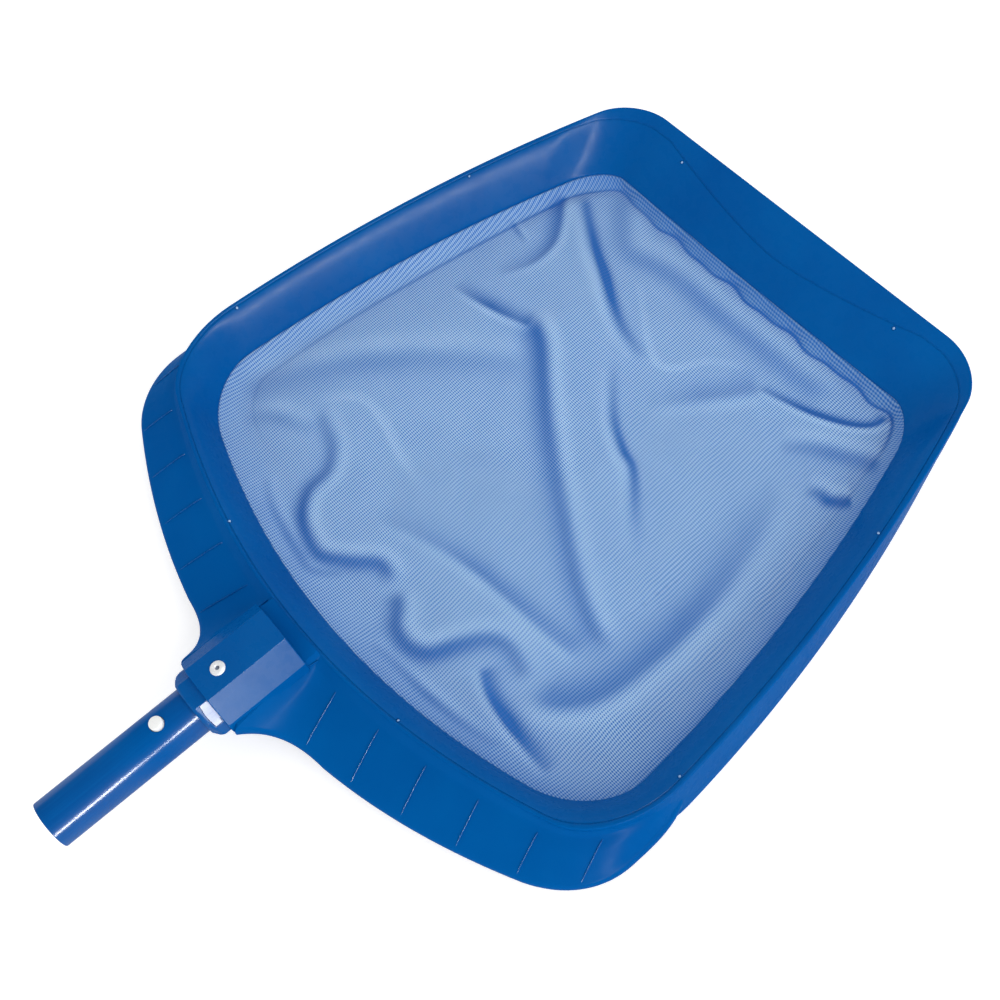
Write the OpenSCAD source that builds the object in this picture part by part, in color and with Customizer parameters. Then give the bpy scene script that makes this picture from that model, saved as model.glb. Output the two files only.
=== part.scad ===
// Leaf skimmer net: a moulded scoop frame with a clamped mesh, on a short tube
// that slides into a telescopic pole and locks there with two snap buttons.
// +Y runs from the tube towards the lip, +Z is up, and the foot rim stands on Z = 0.
// The origin lies in the middle of the length and the width, at the foot rim.

/* [Overall] */
// Length of the scoop along its rails, from the lip to the rear corners
scoop_len = 333.5; // [270:0.5:410]
// Width of the scoop across its rear corners
scoop_w = 412; // [340:1:500]
// Width of the lip across its front corners
lip_w = 287; // [235:1:345]
// Height of the rim's crest above the foot rim
rim_h = 34.5; // [30:0.5:42]

/* [Rim outline] */
// How far the rear edge bows backwards
rear_bow = 49.5; // [38:0.5:60]
// How far each rail bows outwards
rail_bow = 13.5; // [6:0.5:20]
// Where the front corners start, along the lip and along the rail
front_cut = [28, 26];
// Where the rear corners start, along the rail and along the rear edge
rear_cut = [46, 32];
// Width of the sloping inner wall at the rails, seen from above
rail_slope_w = 21; // [17:0.5:26]
// Width of the sloping inner wall at the rear
rear_slope_w = 17; // [14:0.5:22]
// Width of the lip's sloping blade
lip_slope_w = 38; // [30:0.5:46]
// How far the lip overhangs the foot rim
lip_overhang = 26; // [18:0.5:30]
// How far the outer wall flares from the crest to the foot rim
wall_flare = 3; // [1:0.5:6]
// Wall thickness of the moulding
wall = 2.5; // [2:0.1:3.2]

/* [Clamp ring and net] */
// Height of the net's clamped edge above the foot rim
net_z = 11; // [8:0.5:14]
// Where the parting line runs: its share of the inner wall at the rails
parting_side = 0.83; // [0.75:0.01:0.88]
// Its share of the blade in the middle of the lip
parting_lip = 0.44; // [0.36:0.01:0.6]
// Height of the clamp ring's outer edge
ring_edge = 1.3; // [1:0.1:1.8]
// Thickness of the net
net_t = 0.5; // [0.4:0.1:0.6]
// Share of the inner wall that the net reaches under the clamp ring
net_margin = 0.36; // [0.3:0.01:0.45]
// How far the slack net hangs below its clamped edge
net_sag = 9.8; // [6:0.2:9.8]
// How far the hanging side of the net runs inwards on its way down
net_run_in = 11; // [8:0.5:20]
// Radius of the eight staking pins
pin_r = 1.2; // [0.9:0.1:1.5]
// Length of the staking pins
pin_len = 7; // [6:0.5:8]
// Distance of the staking pins from the middle of the lip
pin_lip_x = 87.3; // [70:0.1:95]
// Distance of the staking pins behind the lip
pin_front_in = 112.9; // [90:0.1:130]
// Distance of the staking pins in front of the rear corners
pin_rear_in = 50.8; // [48:0.1:80]
// Distance of the staking pins from the middle of the rear edge
pin_rear_x = 84; // [60:0.5:110]

/* [Flange and ribs] */
// Reach of the flange behind the rear edge, measured on the centre line
flange_reach = 41; // [34:0.5:48]
// How far the flange stands out beyond the rear corners
flange_over = 6; // [4:0.5:9]
// Height of the flange's outer edge above the foot rim
flange_z = 12.5; // [9:0.5:16]
// Thickness of the flange
flange_t = 2.2; // [1.8:0.1:2.8]
// Distance of the first rib from the centre line
rib_first = 42.5; // [36:0.5:48]
// Distance from one rib to the next
rib_pitch = 32.2; // [26:0.2:33]
// How far the flange's corners lie in front of its middle, beyond the rear edge's own bow
flange_lag = 15.2; // [10:0.2:20]
// Angle of the ribs to the centre line
rib_fan = 17.4; // [10:0.2:22]
// Thickness of a rib
rib_t = 1.2; // [0.8:0.1:1.6]
// How far a rib stands above the flange
rib_h = 1.5; // [0.8:0.1:2]

/* [Socket] */
// Distance of the socket's inner end from the rim's crest
socket_gap = 7.2; // [5:0.1:12]
// Length of the faceted socket
socket_len = 51.5; // [44:0.5:58]
// Half width of the socket's flat top
socket_top_x = 11.2; // [9:0.2:13]
// Height of the flat top above the tube's axis
socket_top_z = 20; // [19:0.2:23]
// Half width where the sloping facets end
socket_side_x = 23.7; // [22:0.1:25]
// Half width of the socket at the tube's axis
socket_x = 25.5; // [25:0.5:31]
// Length of the collar in front of the socket
collar_len = 4; // [3:0.1:7]
// Length of the tapered nose in front of the collar
nose_len = 5.2; // [4:0.1:8]

/* [Tube] */
// Outside diameter of the tube
tube_d = 28.5; // [23.5:0.1:34.3]
// Wall thickness of the tube
tube_t = 1.2; // [1:0.1:1.6]
// Height of the tube's axis above the foot rim
axis_z = 33.5; // [31:0.5:38]
// Length of tube that shows in front of the nose
tube_free = 93.1; // [86:0.1:180]
// Length of tube inside the socket
tube_seat = 50; // [42:0.5:51]
// Thickness of the split sleeve around the tube
sleeve_t = 0.8; // [0.6:0.1:1]
// Length of the sleeve in front of the socket's mouth
sleeve_out = 5; // [4:0.1:5.5]
// Length of the sleeve inside the socket
sleeve_in = 9; // [6:0.5:9.5]
// Running clearance between the tube, the sleeve and the socket
fit_gap = 0.05; // [0.03:0.01:0.1]

/* [Rivet] */
// Distance of the rivet from the socket's mouth
rivet_from_mouth = 14.5; // [13:0.5:18]
// Radius of the rivet's head
rivet_head_r = 4.3; // [3.6:0.1:4.6]
// Radius of the rivet's shank
rivet_r = 2.4; // [2:0.1:2.6]
// Radius of the mandrel left in the rivet
mandrel_r = 1.2; // [1:0.05:1.4]

/* [Snap clip] */
// Distance of the buttons from the tube's free end
button_from_end = 74.5; // [62:0.5:78]
// Radius of a button
button_r = 3.95; // [3.4:0.05:4.2]
// How far a button stands out of the tube
button_out = 2.8; // [2.2:0.1:3]
// Clearance around a button in the tube's hole
button_gap = 0.45; // [0.4:0.05:0.6]
// Distance from the clip's hinge line to the buttons
arm_len = 40; // [38:0.5:44]
// Width of the spring strip
strip_w = 8; // [7:0.5:8]
// Thickness of the spring strip
strip_t = 0.7; // [0.5:0.1:0.8]
// Gap between the spring strip and the inside of the tube
strip_gap = 0.3; // [0.25:0.05:0.4]

/* [Hidden] */
$fn = 64;

// Places along the length
head_len = nose_len + collar_len + socket_len + socket_gap;
overall_len = tube_free + head_len + rear_bow + scoop_len;
lip_y = overall_len / 2;
rear_y = lip_y - scoop_len;
socket_end_y = rear_y - rear_bow - socket_gap;
mouth_y = socket_end_y - socket_len;
collar_y = mouth_y - collar_len;
nose_y = collar_y - nose_len;
tube_end_y = nose_y - tube_free;
tube_in_y = mouth_y + tube_seat;
rivet_y = mouth_y + rivet_from_mouth;
button_y = tube_end_y + button_from_end;
hinge_y = button_y - arm_len;

// Radii about the tube's axis
tube_r = tube_d / 2;
bore_r = tube_r + fit_gap;
sleeve_ri = tube_r + fit_gap;
sleeve_ro = sleeve_ri + sleeve_t;
tube_ri = tube_r - tube_t;
strip_z = sqrt(pow(tube_ri - strip_gap, 2) - pow(strip_w / 2, 2));
collar_top_z = sleeve_ro + fit_gap + 1.3;
collar_top_x = 8.5;
collar_side = [tube_r + 5.25, 5.5];
collar_x = tube_r + 8.95;

// Clearances of the clamp
clamp_gap = 0.25;
edge_gap = 0.4;
ledge_gap = 0.25;
// Share of the inner wall that the ring's thickness and the clamp's gap take up
ring_shift = 0.09;
net_shift = 0.11;
clamp_shift = 0.04;

// An outline is [front x, front y, front bow, rear x, rear y, rear bow, rail bow,
// front cut along the lip, front cut along the rail, rear cut along the rail,
// rear cut along the rear edge]
rim = [
  lip_w / 2, lip_y, 0, scoop_w / 2, rear_y, rear_bow, rail_bow,
  front_cut[0], front_cut[1], rear_cut[0], rear_cut[1]
];
mesh_edge = [
  lip_w / 2 - 12.3, lip_y - lip_slope_w, -2, scoop_w / 2 - rail_slope_w, rear_y + 6.5,
  rear_bow + 6.5 - rear_slope_w, rail_bow - 2,
  front_cut[0] - 11, front_cut[1] + 2, rear_cut[0] - 13, rear_cut[1] + 7
];
foot = [
  lip_w / 2 + 4, lip_y - lip_overhang, 0, scoop_w / 2 + wall_flare, rear_y, rear_bow - 1,
  rail_bow, front_cut[0], front_cut[1] + 12, rear_cut[0] + 2, rear_cut[1] + 8
];

// How many steps each stretch of a half outline has
n_front = 5;
n_corner = 6;
n_rail = 9;
n_rear = 8;

function lerp(a, b, t) = a + (b - a) * t;
function inset(o, d) = [
  o[0] - d, o[1] - d, o[2], o[3] - d, o[4] + d, o[5], o[6], o[7], o[8], o[9], o[10]
];
// Where the line through p along u meets the line through q along v
function meet(p, u, q, v) =
  p + u * ((q.x - p.x) * v.y - (q.y - p.y) * v.x) / (u.x * v.y - u.y * v.x);
function bezier(a, b, c, d, t) =
  pow(1 - t, 3) * a + 3 * t * pow(1 - t, 2) * b + 3 * t * t * (1 - t) * c + pow(t, 3) * d;
// A corner that leaves p along u and arrives at q along v
round_k = 0.56;
function corner(p, u, q, v, n) =
  let (m = meet(p, u, q, v))
  [for (i = [1:n - 1]) bezier(p, lerp(p, m, round_k), lerp(q, m, round_k), q, i / n)];

// Half of an outline, from the middle of the lip round to the middle of the rear edge
function half_outline(o) =
  let (
    a = [o[0], o[1]],
    b = [o[3], o[4]],
    d = b - a,
    side = [-d.y, d.x] / norm(d),
    t1 = 1 - o[7] / o[0],
    s1 = o[8] / norm(d),
    s2 = 1 - o[9] / norm(d),
    t2 = 1 - o[10] / o[3]
  )
  concat(
    [for (i = [0:n_front]) front_point(o, t1 * i / n_front)],
    corner(
      front_point(o, t1), [o[0], -2 * o[2] * t1],
      rail_point(a, d, side, o[6], s1), d + side * o[6] * 4 * (1 - 2 * s1), n_corner
    ),
    [for (i = [0:n_rail]) rail_point(a, d, side, o[6], lerp(s1, s2, i / n_rail))],
    corner(
      rail_point(a, d, side, o[6], s2), d + side * o[6] * 4 * (1 - 2 * s2),
      rear_point(o, t2), [o[3], 2 * o[5] * t2], n_corner
    ),
    [for (i = [0:n_rear]) rear_point(o, t2 * (1 - i / n_rear))]
  );
function front_point(o, t) = [t * o[0], o[1] + o[2] * (1 - t * t)];
function rail_point(a, d, side, bow, s) = a + d * s + side * bow * 4 * s * (1 - s);
function rear_point(o, t) = [t * o[3], o[4] - o[5] * (1 - t * t)];

// A whole outline: the right half, then its mirror image
function whole(half) = concat(half, [for (i = [len(half) - 2:-1:1]) [-half[i].x, half[i].y]]);

rim_path = whole(half_outline(rim));
mesh_path = whole(half_outline(mesh_edge));
foot_path = whole(half_outline(foot));
foot_in_path = whole(half_outline(inset(foot, wall)));
stations = len(rim_path);

// How straight the inner wall is at a station: 1 on the lip's blade, 0 at the rails
function blade(i) = let (y = rim_path[i].y) min(1, max(0, (y - lip_y + 45) / 40));
// Where the parting line runs at a station, as a share of the inner wall
function parting(i) =
  let (x = abs(rim_path[i].x), reach = 0.725 * lip_w / 2)
  blade(i) < 1 || x > reach
    ? lerp(parting_side, 0.8, blade(i))
    : lerp(parting_lip, 0.8, pow(x / reach, 1.5));
// Height of the inner wall at share f of its width
function wall_z(i, f) = net_z + (rim_h - net_z) * lerp(sin(90 * min(1, f)), f, blade(i));
// A point of the inner wall at station i, share f, dropped by d
function on_wall(i, f, d) = concat(lerp(mesh_path[i], rim_path[i], f), [wall_z(i, f) - d]);
// The same, below a surface that lies the share g further in
function under(i, f, g, d) =
  concat(lerp(mesh_path[i], rim_path[i], f), [wall_z(i, f - g) - d]);

// A closed band through rings of points, each ring with a point for every station
module band(rings) {
  m = len(rings);
  n = len(rings[0]);
  polyhedron(
    points = [for (r = rings) each r],
    faces = [
      for (j = [0:m - 1]) for (i = [0:n - 1])
        let (a = j * n + i, b = j * n + (i + 1) % n,
             c = ((j + 1) % m) * n + (i + 1) % n, d = ((j + 1) % m) * n + i)
        each [[a, b, c], [a, c, d]]
    ]
  );
}

// Rings of the frame's hollow rim, from the foot rim over the crest to the seat
// under the clamp ring and back inside the channel
module rim_band() {
  all = [0:stations - 1];
  seat_shift = ring_shift + clamp_shift;
  seat_drop = ring_edge + net_t + clamp_gap;
  band([
    [for (i = all) concat(foot_path[i], [0])],
    [for (i = all) concat(rim_path[i], [rim_h - 3])],
    [for (i = all) on_wall(i, 0.94, 0)],
    [for (i = all) on_wall(i, parting(i) + 0.01, 0)],
    [for (i = all) under(i, parting(i) + 0.01, ring_shift, ring_edge + ledge_gap)],
    [for (i = all) under(i, parting(i) - 0.08, ring_shift, ring_edge + ledge_gap)],
    [for (i = all) under(i, parting(i) - 0.1, seat_shift, seat_drop)],
    [for (i = all) under(i, lerp(0.18, parting(i), 0.35), seat_shift, seat_drop)],
    [for (i = all) under(i, 0.18, seat_shift, seat_drop)],
    [for (i = all) under(i, 0.22, seat_shift, seat_drop + wall + 1)],
    [for (i = all) under(i, 0.5, seat_shift, seat_drop + wall)],
    [for (i = all) concat(lerp(mesh_path[i], rim_path[i], 0.88), [rim_h - 6.3])],
    [for (i = all) concat(foot_in_path[i], [0])]
  ]);
}

/* Flange: a skirt behind the rear edge that runs from the socket to both rails */
flange_x = scoop_w / 2 + flange_over;
flange_peak_y = rear_y - rear_bow - flange_reach;
flange_rise = (rear_bow + flange_lag) / pow(flange_x, 2);
neck_x = 66;
turn_len = 30;
flange_turn_x = flange_x - turn_len;
function flange_y(x) = flange_peak_y + flange_rise * x * x;
neck = [
  [socket_x + 1, mouth_y + 0.1],
  [socket_x + 5, flange_y(0) - 8],
  [socket_x + 12, flange_y(neck_x) - 2.8],
  [neck_x, flange_y(neck_x)]
];
turn = [
  [flange_turn_x, flange_y(flange_turn_x)],
  [flange_x - 12, flange_y(flange_turn_x) + 10.1],
  [flange_x, flange_y(flange_x) + 10.3],
  [flange_x, flange_y(flange_x) + 30.3]
];
// The flange's end runs into the rail's outer wall
tail_share = 0.885;
rail_start = [rim[0], rim[1]];
rail_run = [rim[3], rim[4]] - rail_start;
rail_out = [-rail_run.y, rail_run.x] / norm(rail_run);
tail_end = rail_point(rail_start, rail_run, rail_out, rail_bow, tail_share) - rail_out * 0.8;
tail = [
  turn[3],
  turn[3] + [0, 12],
  tail_end + rail_run / norm(rail_run) * 10 + rail_out * 7,
  tail_end
];
flange_half = concat(
  [[0, mouth_y + 8], [socket_x - 9, mouth_y + 6]],
  [for (i = [0:8]) bezier(neck[0], neck[1], neck[2], neck[3], i / 8)],
  [for (i = [1:9]) let (x = lerp(neck_x, flange_turn_x, i / 9)) [x, flange_y(x)]],
  [for (i = [1:6]) bezier(turn[0], turn[1], turn[2], turn[3], i / 6)],
  [for (i = [1:4]) bezier(tail[0], tail[1], tail[2], tail[3], i / 4)]
);
flange_path = concat(
  [for (i = [len(flange_half) - 1:-1:1]) [-flange_half[i].x, flange_half[i].y]], flange_half
);
// The point where the way from p to the middle of the scoop first meets a path
scoop_mid = [0, lip_y - scoop_len / 2];
function first_hit(p, path) = [
  for (i = [0:len(path) - 1])
    let (
      a = path[i],
      e = path[(i + 1) % len(path)] - a,
      u = scoop_mid - p,
      k = u.x * e.y - u.y * e.x,
      t = ((a.x - p.x) * e.y - (a.y - p.y) * e.x) / k,
      s = ((a.x - p.x) * u.y - (a.y - p.y) * u.x) / k
    )
    if (k != 0 && s >= 0 && s <= 1 && t >= 0 && t <= 1) p + u * t
][0];
inner_rim_path = whole(half_outline(inset(rim, 1.2)));
// Height of the flange's lower edge: it climbs beside the socket
function flange_edge_z(p) =
  flange_z + (axis_z - 1.5 - flange_z) * exp(-max(0, abs(p.x) - socket_x) / 12)
  + 2 * max(0, (abs(p.x) - scoop_w / 2 + 16) / 22);
// How far the flange's top stands above that edge: less beside the socket
function flange_top(p) = 6 - 4 * exp(-max(0, abs(p.x) - socket_x) / 12);
// The loop of points that a flange station has, from the rim out and back
function flange_loop(p) =
  let (
    q = first_hit(p, inner_rim_path),
    w = norm(p - q),
    z = flange_edge_z(p),
    low = max(0, (abs(p.x) - scoop_w / 2 + 36) / 42),
    s = [0, min(9, 0.3 * w), max(0.6 * w, w - 3), w],
    h = [rim_h - 2 - 3 * low, rim_h - 6 - 2 * low, z + flange_top(p), z + 1.6]
  )
  concat(
    [for (i = [0:3]) concat(lerp(q, p, s[i] / w), [h[i]])],
    [for (i = [3:-1:0]) concat(lerp(q, p, max(0, s[i] - (i == 3 ? 0.3 : 0.8)) / w),
                               [h[i] - (i == 3 ? 1.6 : flange_t)])]
  );
module flange() {
  loops = [for (p = flange_path) flange_loop(p)];
  m = len(loops[0]);
  n = len(loops);
  polyhedron(
    points = [for (r = loops) each r],
    faces = concat(
      [
        for (j = [0:n - 2]) for (i = [0:m - 1])
          let (a = j * m + i, b = j * m + (i + 1) % m,
               c = (j + 1) * m + (i + 1) % m, d = (j + 1) * m + i)
          each [[a, c, b], [a, d, c]]
      ],
      [for (i = [1:m - 2]) [0, i, i + 1]],
      [for (i = [1:m - 2]) [(n - 1) * m, (n - 1) * m + i + 1, (n - 1) * m + i]]
    )
  );
}

// One rib: a thin upright blade whose top runs down from p to q
module rib(p, q) {
  d = [q.x - p.x, q.y - p.y];
  length = norm(d);
  translate([p.x, p.y, 0])
    rotate([0, 0, atan2(d.y, d.x)])
      translate([0, rib_t / 2, 0])
        rotate([90, 0, 0])
          linear_extrude(height = rib_t)
            polygon([[0, p.z - 3.2], [0, p.z - 0.6], [1, p.z], [length - 1, q.z],
                     [length, q.z - 0.8], [length, q.z - 3.4]]);
}
// Ribs start behind the rear edge and end short of the flange's edge
function rim_rear_y(x) = rear_y - rear_bow * (1 - pow(x / (scoop_w / 2), 2));
rib_room = 34;
rib_count = 1 + floor((scoop_w / 2 - rib_room - rib_first) / rib_pitch);
rib_start = 5.7;
rib_stop = 3;
// The corner rib's place: its distance from the rear corner, its start and its run
corner_rib_in = 10.5;
corner_rib_start = 5.9;
corner_rib_run = 22.5;
module ribs() {
  for (side = [-1, 1]) for (i = [0:rib_count]) {
    last = i == rib_count;
    x = last ? scoop_w / 2 - corner_rib_in : rib_first + rib_pitch * i;
    y0 = rim_rear_y(x) + (last ? corner_rib_start : -rib_start);
    run = last ? corner_rib_run : flange_run(x, y0);
    y1 = y0 - run;
    x1 = x + run * tan(rib_fan);
    rib(
      [side * x, y0, rim_h - 6 + rib_h - (last ? 2 : 0)],
      [side * x1, y1, flange_edge_z([x1, y1]) + 6 + rib_h - (last ? 1 : 0)]
    );
  }
}
function flange_run(x, y0) =
  let (run = y0 - flange_y(x + 9)) run - rib_stop - 0.5;
// Short ribs that carry on from the socket's lower edges towards the rim
module socket_stubs() {
  for (side = [-1, 1])
    rib(
      [side * (socket_side_x - 0.2), socket_end_y - 1, axis_z + 3],
      [side * (socket_side_x + 0.6), socket_end_y + 6, axis_z + 2.2]
    );
}

// The outline of the socket and of its collar, seen along the tube
module facets(top, side, wide) {
  polygon([
    [top.x, top.y], [side.x, side.y], [wide, 0], [side.x, -side.y], [top.x, -top.y],
    [-top.x, -top.y], [-side.x, -side.y], [-wide, 0], [-side.x, side.y], [-top.x, top.y]
  ]);
}
// Turns a shape drawn across the tube so that it runs from y0 to y1
module along_tube(y0, y1) {
  translate([0, y1, axis_z])
    rotate([90, 0, 0])
      linear_extrude(height = y1 - y0)
        children();
}
module tube_cylinder(y0, y1, r0, r1) {
  translate([0, y1, axis_z])
    rotate([90, 0, 0])
      cylinder(h = y1 - y0, r1 = r1, r2 = r0);
}
module socket_outside() {
  along_tube(mouth_y, socket_end_y)
    facets([socket_top_x, socket_top_z], [socket_side_x, 6.1], socket_x);
  along_tube(collar_y, mouth_y + 1)
    facets([collar_top_x, collar_top_z], collar_side, collar_x);
  intersection() {
    along_tube(nose_y, collar_y + 1)
      facets([collar_top_x, collar_top_z], collar_side, collar_x);
    tube_cylinder(nose_y, collar_y + 1, sleeve_ro + 1, collar_x + 1.5);
  }
}
// The window in the collar's right facet that holds the sleeve's key
key_gap = 0.1;
// How deep the key runs into the sleeve
key_sink = 0.3;
module key_outline(gap) {
  a = [collar_top_x, collar_top_z];
  b = collar_side;
  u = (b - a) / norm(b - a);
  out = [-u.y, u.x];
  depth = a * out - sleeve_ro + key_sink;
  polygon([
    a + u * (0.5 - gap) + out * gap, b - u * (0.4 - gap) + out * gap,
    b - u * (0.4 - gap) - out * (depth + gap), a + u * (0.5 - gap) - out * (depth + gap)
  ]);
}
module key_block(gap) {
  along_tube(mouth_y - sleeve_out - gap, mouth_y - 0.1 + gap)
    key_outline(gap);
}
module rivet_bore(r) {
  translate([0, rivet_y, axis_z])
    cylinder(h = socket_top_z + 5, r = r);
}

// Where the staking pins stand, as stations on the right half of the rim
half_count = len(half_outline(rim));
pin_spots = [
  [pin_lip_x, "lip"], [lip_y - pin_front_in, "rail"], [rear_y + pin_rear_in, "rail"],
  [pin_rear_x, "rear"]
];
// The pair of neighbouring stations of the half outline around a coordinate
function pin_place(spot) =
  let (
    first = spot[1] == "lip" ? 0 : spot[1] == "rail" ? n_front + n_corner : half_count - 1 - n_rear,
    last = spot[1] == "lip" ? n_front : spot[1] == "rail" ? half_count - 1 - n_rear : half_count - 1,
    k = spot[1] == "rail" ? 1 : 0,
    i = [for (i = [first:last - 1])
      if ((rim_path[i][k] - spot[0]) * (rim_path[i + 1][k] - spot[0]) <= 0) i][0],
    t = (spot[0] - rim_path[i][k]) / (rim_path[i + 1][k] - rim_path[i][k]),
    f = lerp(parting(i), parting(i + 1), t) - 0.055
  )
  lerp(on_wall(i, f, 0), on_wall(i + 1, f, 0), t);
module at_pins() {
  for (spot = pin_spots) {
    p = pin_place(spot);
    for (side = [-1, 1])
      translate([side * p.x, p.y, p.z])
        children();
  }
}

module frame() {
  color([0.02, 0.36, 0.64])
    difference() {
      union() {
        rim_band();
        flange();
        ribs();
        socket_outside();
        socket_stubs();
      }
      tube_cylinder(nose_y - 1, mouth_y + tube_seat + 0.5, bore_r, bore_r);
      tube_cylinder(nose_y - 1, mouth_y + sleeve_in + 0.2, sleeve_ro + fit_gap, sleeve_ro + fit_gap);
      key_block(key_gap);
      rivet_bore(rivet_r + 0.1);
      at_pins()
        translate([0, 0, -pin_len - 2])
          cylinder(h = pin_len + 6, r = pin_r + fit_gap, $fn = 24);
    }
}

module net_ring() {
  all = [0:stations - 1];
  color([0.02, 0.4, 0.68])
    difference() {
      band([
        [for (i = all) under(i, parting(i) - edge_share(i), ring_shift, ring_edge)],
        [for (i = all) on_wall(i, parting(i) - edge_share(i), 0)],
        [for (i = all) on_wall(i, parting(i) * 0.72, 0)],
        [for (i = all) on_wall(i, parting(i) * 0.45, 0)],
        [for (i = all) on_wall(i, parting(i) * 0.2, 0)],
        [for (i = all) on_wall(i, 0, 0)],
        [for (i = all) on_wall(i, 0, 1.6)],
        [for (i = all) under(i, ring_shift, ring_shift, ring_edge)],
        [for (i = all) under(i, parting(i) * 0.4, ring_shift, ring_edge)],
        [for (i = all) under(i, parting(i) * 0.7, ring_shift, ring_edge)],
        [for (i = all) under(i, parting(i) - 0.1, ring_shift, ring_edge)],
        [for (i = all) under(i, parting(i) - 0.07, ring_shift, ring_edge)]
      ]);
      at_pins()
        translate([0, 0, -pin_len - 2])
          cylinder(h = pin_len + 6, r = pin_r + fit_gap, $fn = 24);
    }
}
// The gap at the parting line as a share of the inner wall's width
function edge_share(i) = edge_gap / norm(rim_path[i] - mesh_path[i]) - 0.01;

// The net: a clamped margin, a hanging side and a floor that lies slack
floor_path = whole(half_outline(inset(mesh_edge, net_run_in)));
function net_reach(i) = min(net_margin, parting(i) - 0.15);
module net() {
  all = [0:stations - 1];
  drop = ring_edge + clamp_gap / 2;
  n = stations;
  net_low = net_z - net_sag;
  rings = [
    [for (i = all) concat(floor_path[i], [net_low - net_t])],
    [for (i = all) concat(lerp(mesh_path[i], floor_path[i], 0.1), [net_z - 3.2])],
    [for (i = all) concat(lerp(mesh_path[i], rim_path[i], 0.1), [net_z - 2.7])],
    [for (i = all) under(i, 0.2, net_shift, drop + net_t)],
    [for (i = all) under(i, net_reach(i), net_shift, drop + net_t)],
    [for (i = all) under(i, net_reach(i), net_shift, drop)],
    [for (i = all) under(i, 0.2, net_shift, drop)],
    [for (i = all) concat(lerp(mesh_path[i], rim_path[i], 0.1), [net_z - 2])],
    [for (i = all) concat(lerp(mesh_path[i], floor_path[i], 0.12), [net_z - 2.6])],
    [for (i = all) concat(floor_path[i], [net_low])]
  ];
  m = len(rings);
  color([0.55, 0.68, 0.88])
    polyhedron(
      points = [for (r = rings) each r],
      faces = concat(
        [
          for (j = [0:m - 2]) for (i = [0:n - 1])
            let (a = j * n + i, b = j * n + (i + 1) % n,
                 c = (j + 1) * n + (i + 1) % n, d = (j + 1) * n + i)
            each [[a, b, c], [a, c, d]]
        ],
        [[for (i = [n - 1:-1:0]) i]],
        [[for (i = all) (m - 1) * n + i]]
      )
    );
}

module ring_pins() {
  color([0.6, 0.75, 0.9])
    at_pins()
      translate([0, 0, -pin_len]) {
        cylinder(h = pin_len, r = pin_r, $fn = 24);
        translate([0, 0, pin_len])
          cylinder(h = 0.4, r1 = pin_r, r2 = pin_r - 0.5, $fn = 24);
      }
}

module handle_tube() {
  color([0, 0.33, 0.62])
    difference() {
      tube_cylinder(tube_end_y, tube_in_y, tube_r, tube_r);
      tube_cylinder(tube_end_y - 1, tube_in_y + 1, tube_ri, tube_ri);
      rivet_bore(rivet_r + 0.1);
      translate([0, button_y, axis_z - tube_d])
        cylinder(h = 2 * tube_d, r = button_r + button_gap);
    }
}

module tube_sleeve() {
  slit = 2;
  color([0.8, 0.82, 0.86])
    difference() {
      union() {
        tube_cylinder(mouth_y - sleeve_out, mouth_y + sleeve_in, sleeve_ro, sleeve_ro);
        difference() {
          key_block(0);
          // A small step in the key's lower front corner
          translate([collar_side.x - 3, mouth_y - 1.6, axis_z + 2])
            cube([8, 3, 5.5]);
        }
      }
      tube_cylinder(nose_y, mouth_y + sleeve_in + 1, sleeve_ri, sleeve_ri);
      // The sleeve is split along its underside
      translate([-slit / 2, nose_y, axis_z - sleeve_ro - 3])
        cube([slit, mouth_y + sleeve_in + 1 - nose_y, 6]);
    }
}

// A blind rivet: domed head on the socket, shank, and a bulb inside the tube
bulb_z = tube_ri - 1.4;
module rivet_body() {
  head_h = 1.3;
  dome = 0.7;
  bulb_r = rivet_r + 1;
  color([0.9, 0.92, 0.95])
    translate([0, rivet_y, axis_z])
      difference() {
        union() {
          translate([0, 0, bulb_z])
            cylinder(h = socket_top_z - bulb_z + dome, r = rivet_r);
          translate([0, 0, bulb_z])
            cylinder(h = sqrt(pow(tube_ri, 2) - pow(bulb_r, 2)) - bulb_z - 0.05, r = bulb_r);
          translate([0, 0, socket_top_z])
            cylinder(h = dome, r = rivet_head_r);
          translate([0, 0, socket_top_z + dome])
            cylinder(h = head_h - dome, r1 = rivet_head_r, r2 = rivet_head_r - 1.4);
        }
        translate([0, 0, bulb_z - 1])
          cylinder(h = socket_top_z + 5, r = mandrel_r + fit_gap);
      }
}
module rivet_mandrel() {
  ball_r = 1.9;
  color([0.35, 0.36, 0.38])
    translate([0, rivet_y, axis_z]) {
      translate([0, 0, bulb_z - ball_r - 0.05])
        sphere(r = ball_r);
      translate([0, 0, bulb_z - ball_r])
        cylinder(h = socket_top_z - bulb_z + ball_r + 0.3, r = mandrel_r);
    }
}

// The snap clip: a bowed bend and two straight arms of one spring strip
module clip_bend() {
  color([0.75, 0.77, 0.8])
    translate([0, hinge_y - 0.15, axis_z])
      intersection() {
        rotate([0, 90, 0])
          translate([0, 0, -strip_w / 2])
            difference() {
              cylinder(h = strip_w, r = strip_z);
              translate([0, 0, -1])
                cylinder(h = strip_w + 2, r = strip_z - strip_t);
            }
        translate([-strip_w, -2 * strip_z, -2 * strip_z])
          cube([2 * strip_w, 2 * strip_z, 4 * strip_z]);
      }
}
module clip_arm(side) {
  tip = 6;
  color([0.75, 0.77, 0.8])
    translate([0, 0, axis_z])
      mirror([0, 0, side < 0 ? 1 : 0])
        difference() {
          translate([-strip_w / 2, hinge_y + 0.15, strip_z - strip_t])
            cube([strip_w, arm_len + tip - 0.15, strip_t]);
          translate([0, button_y, 0])
            cylinder(h = 2 * strip_z, r = 1.65);
        }
}
module clip_arm_top() {
  clip_arm(1);
}
module clip_arm_bottom() {
  clip_arm(-1);
}
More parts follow.
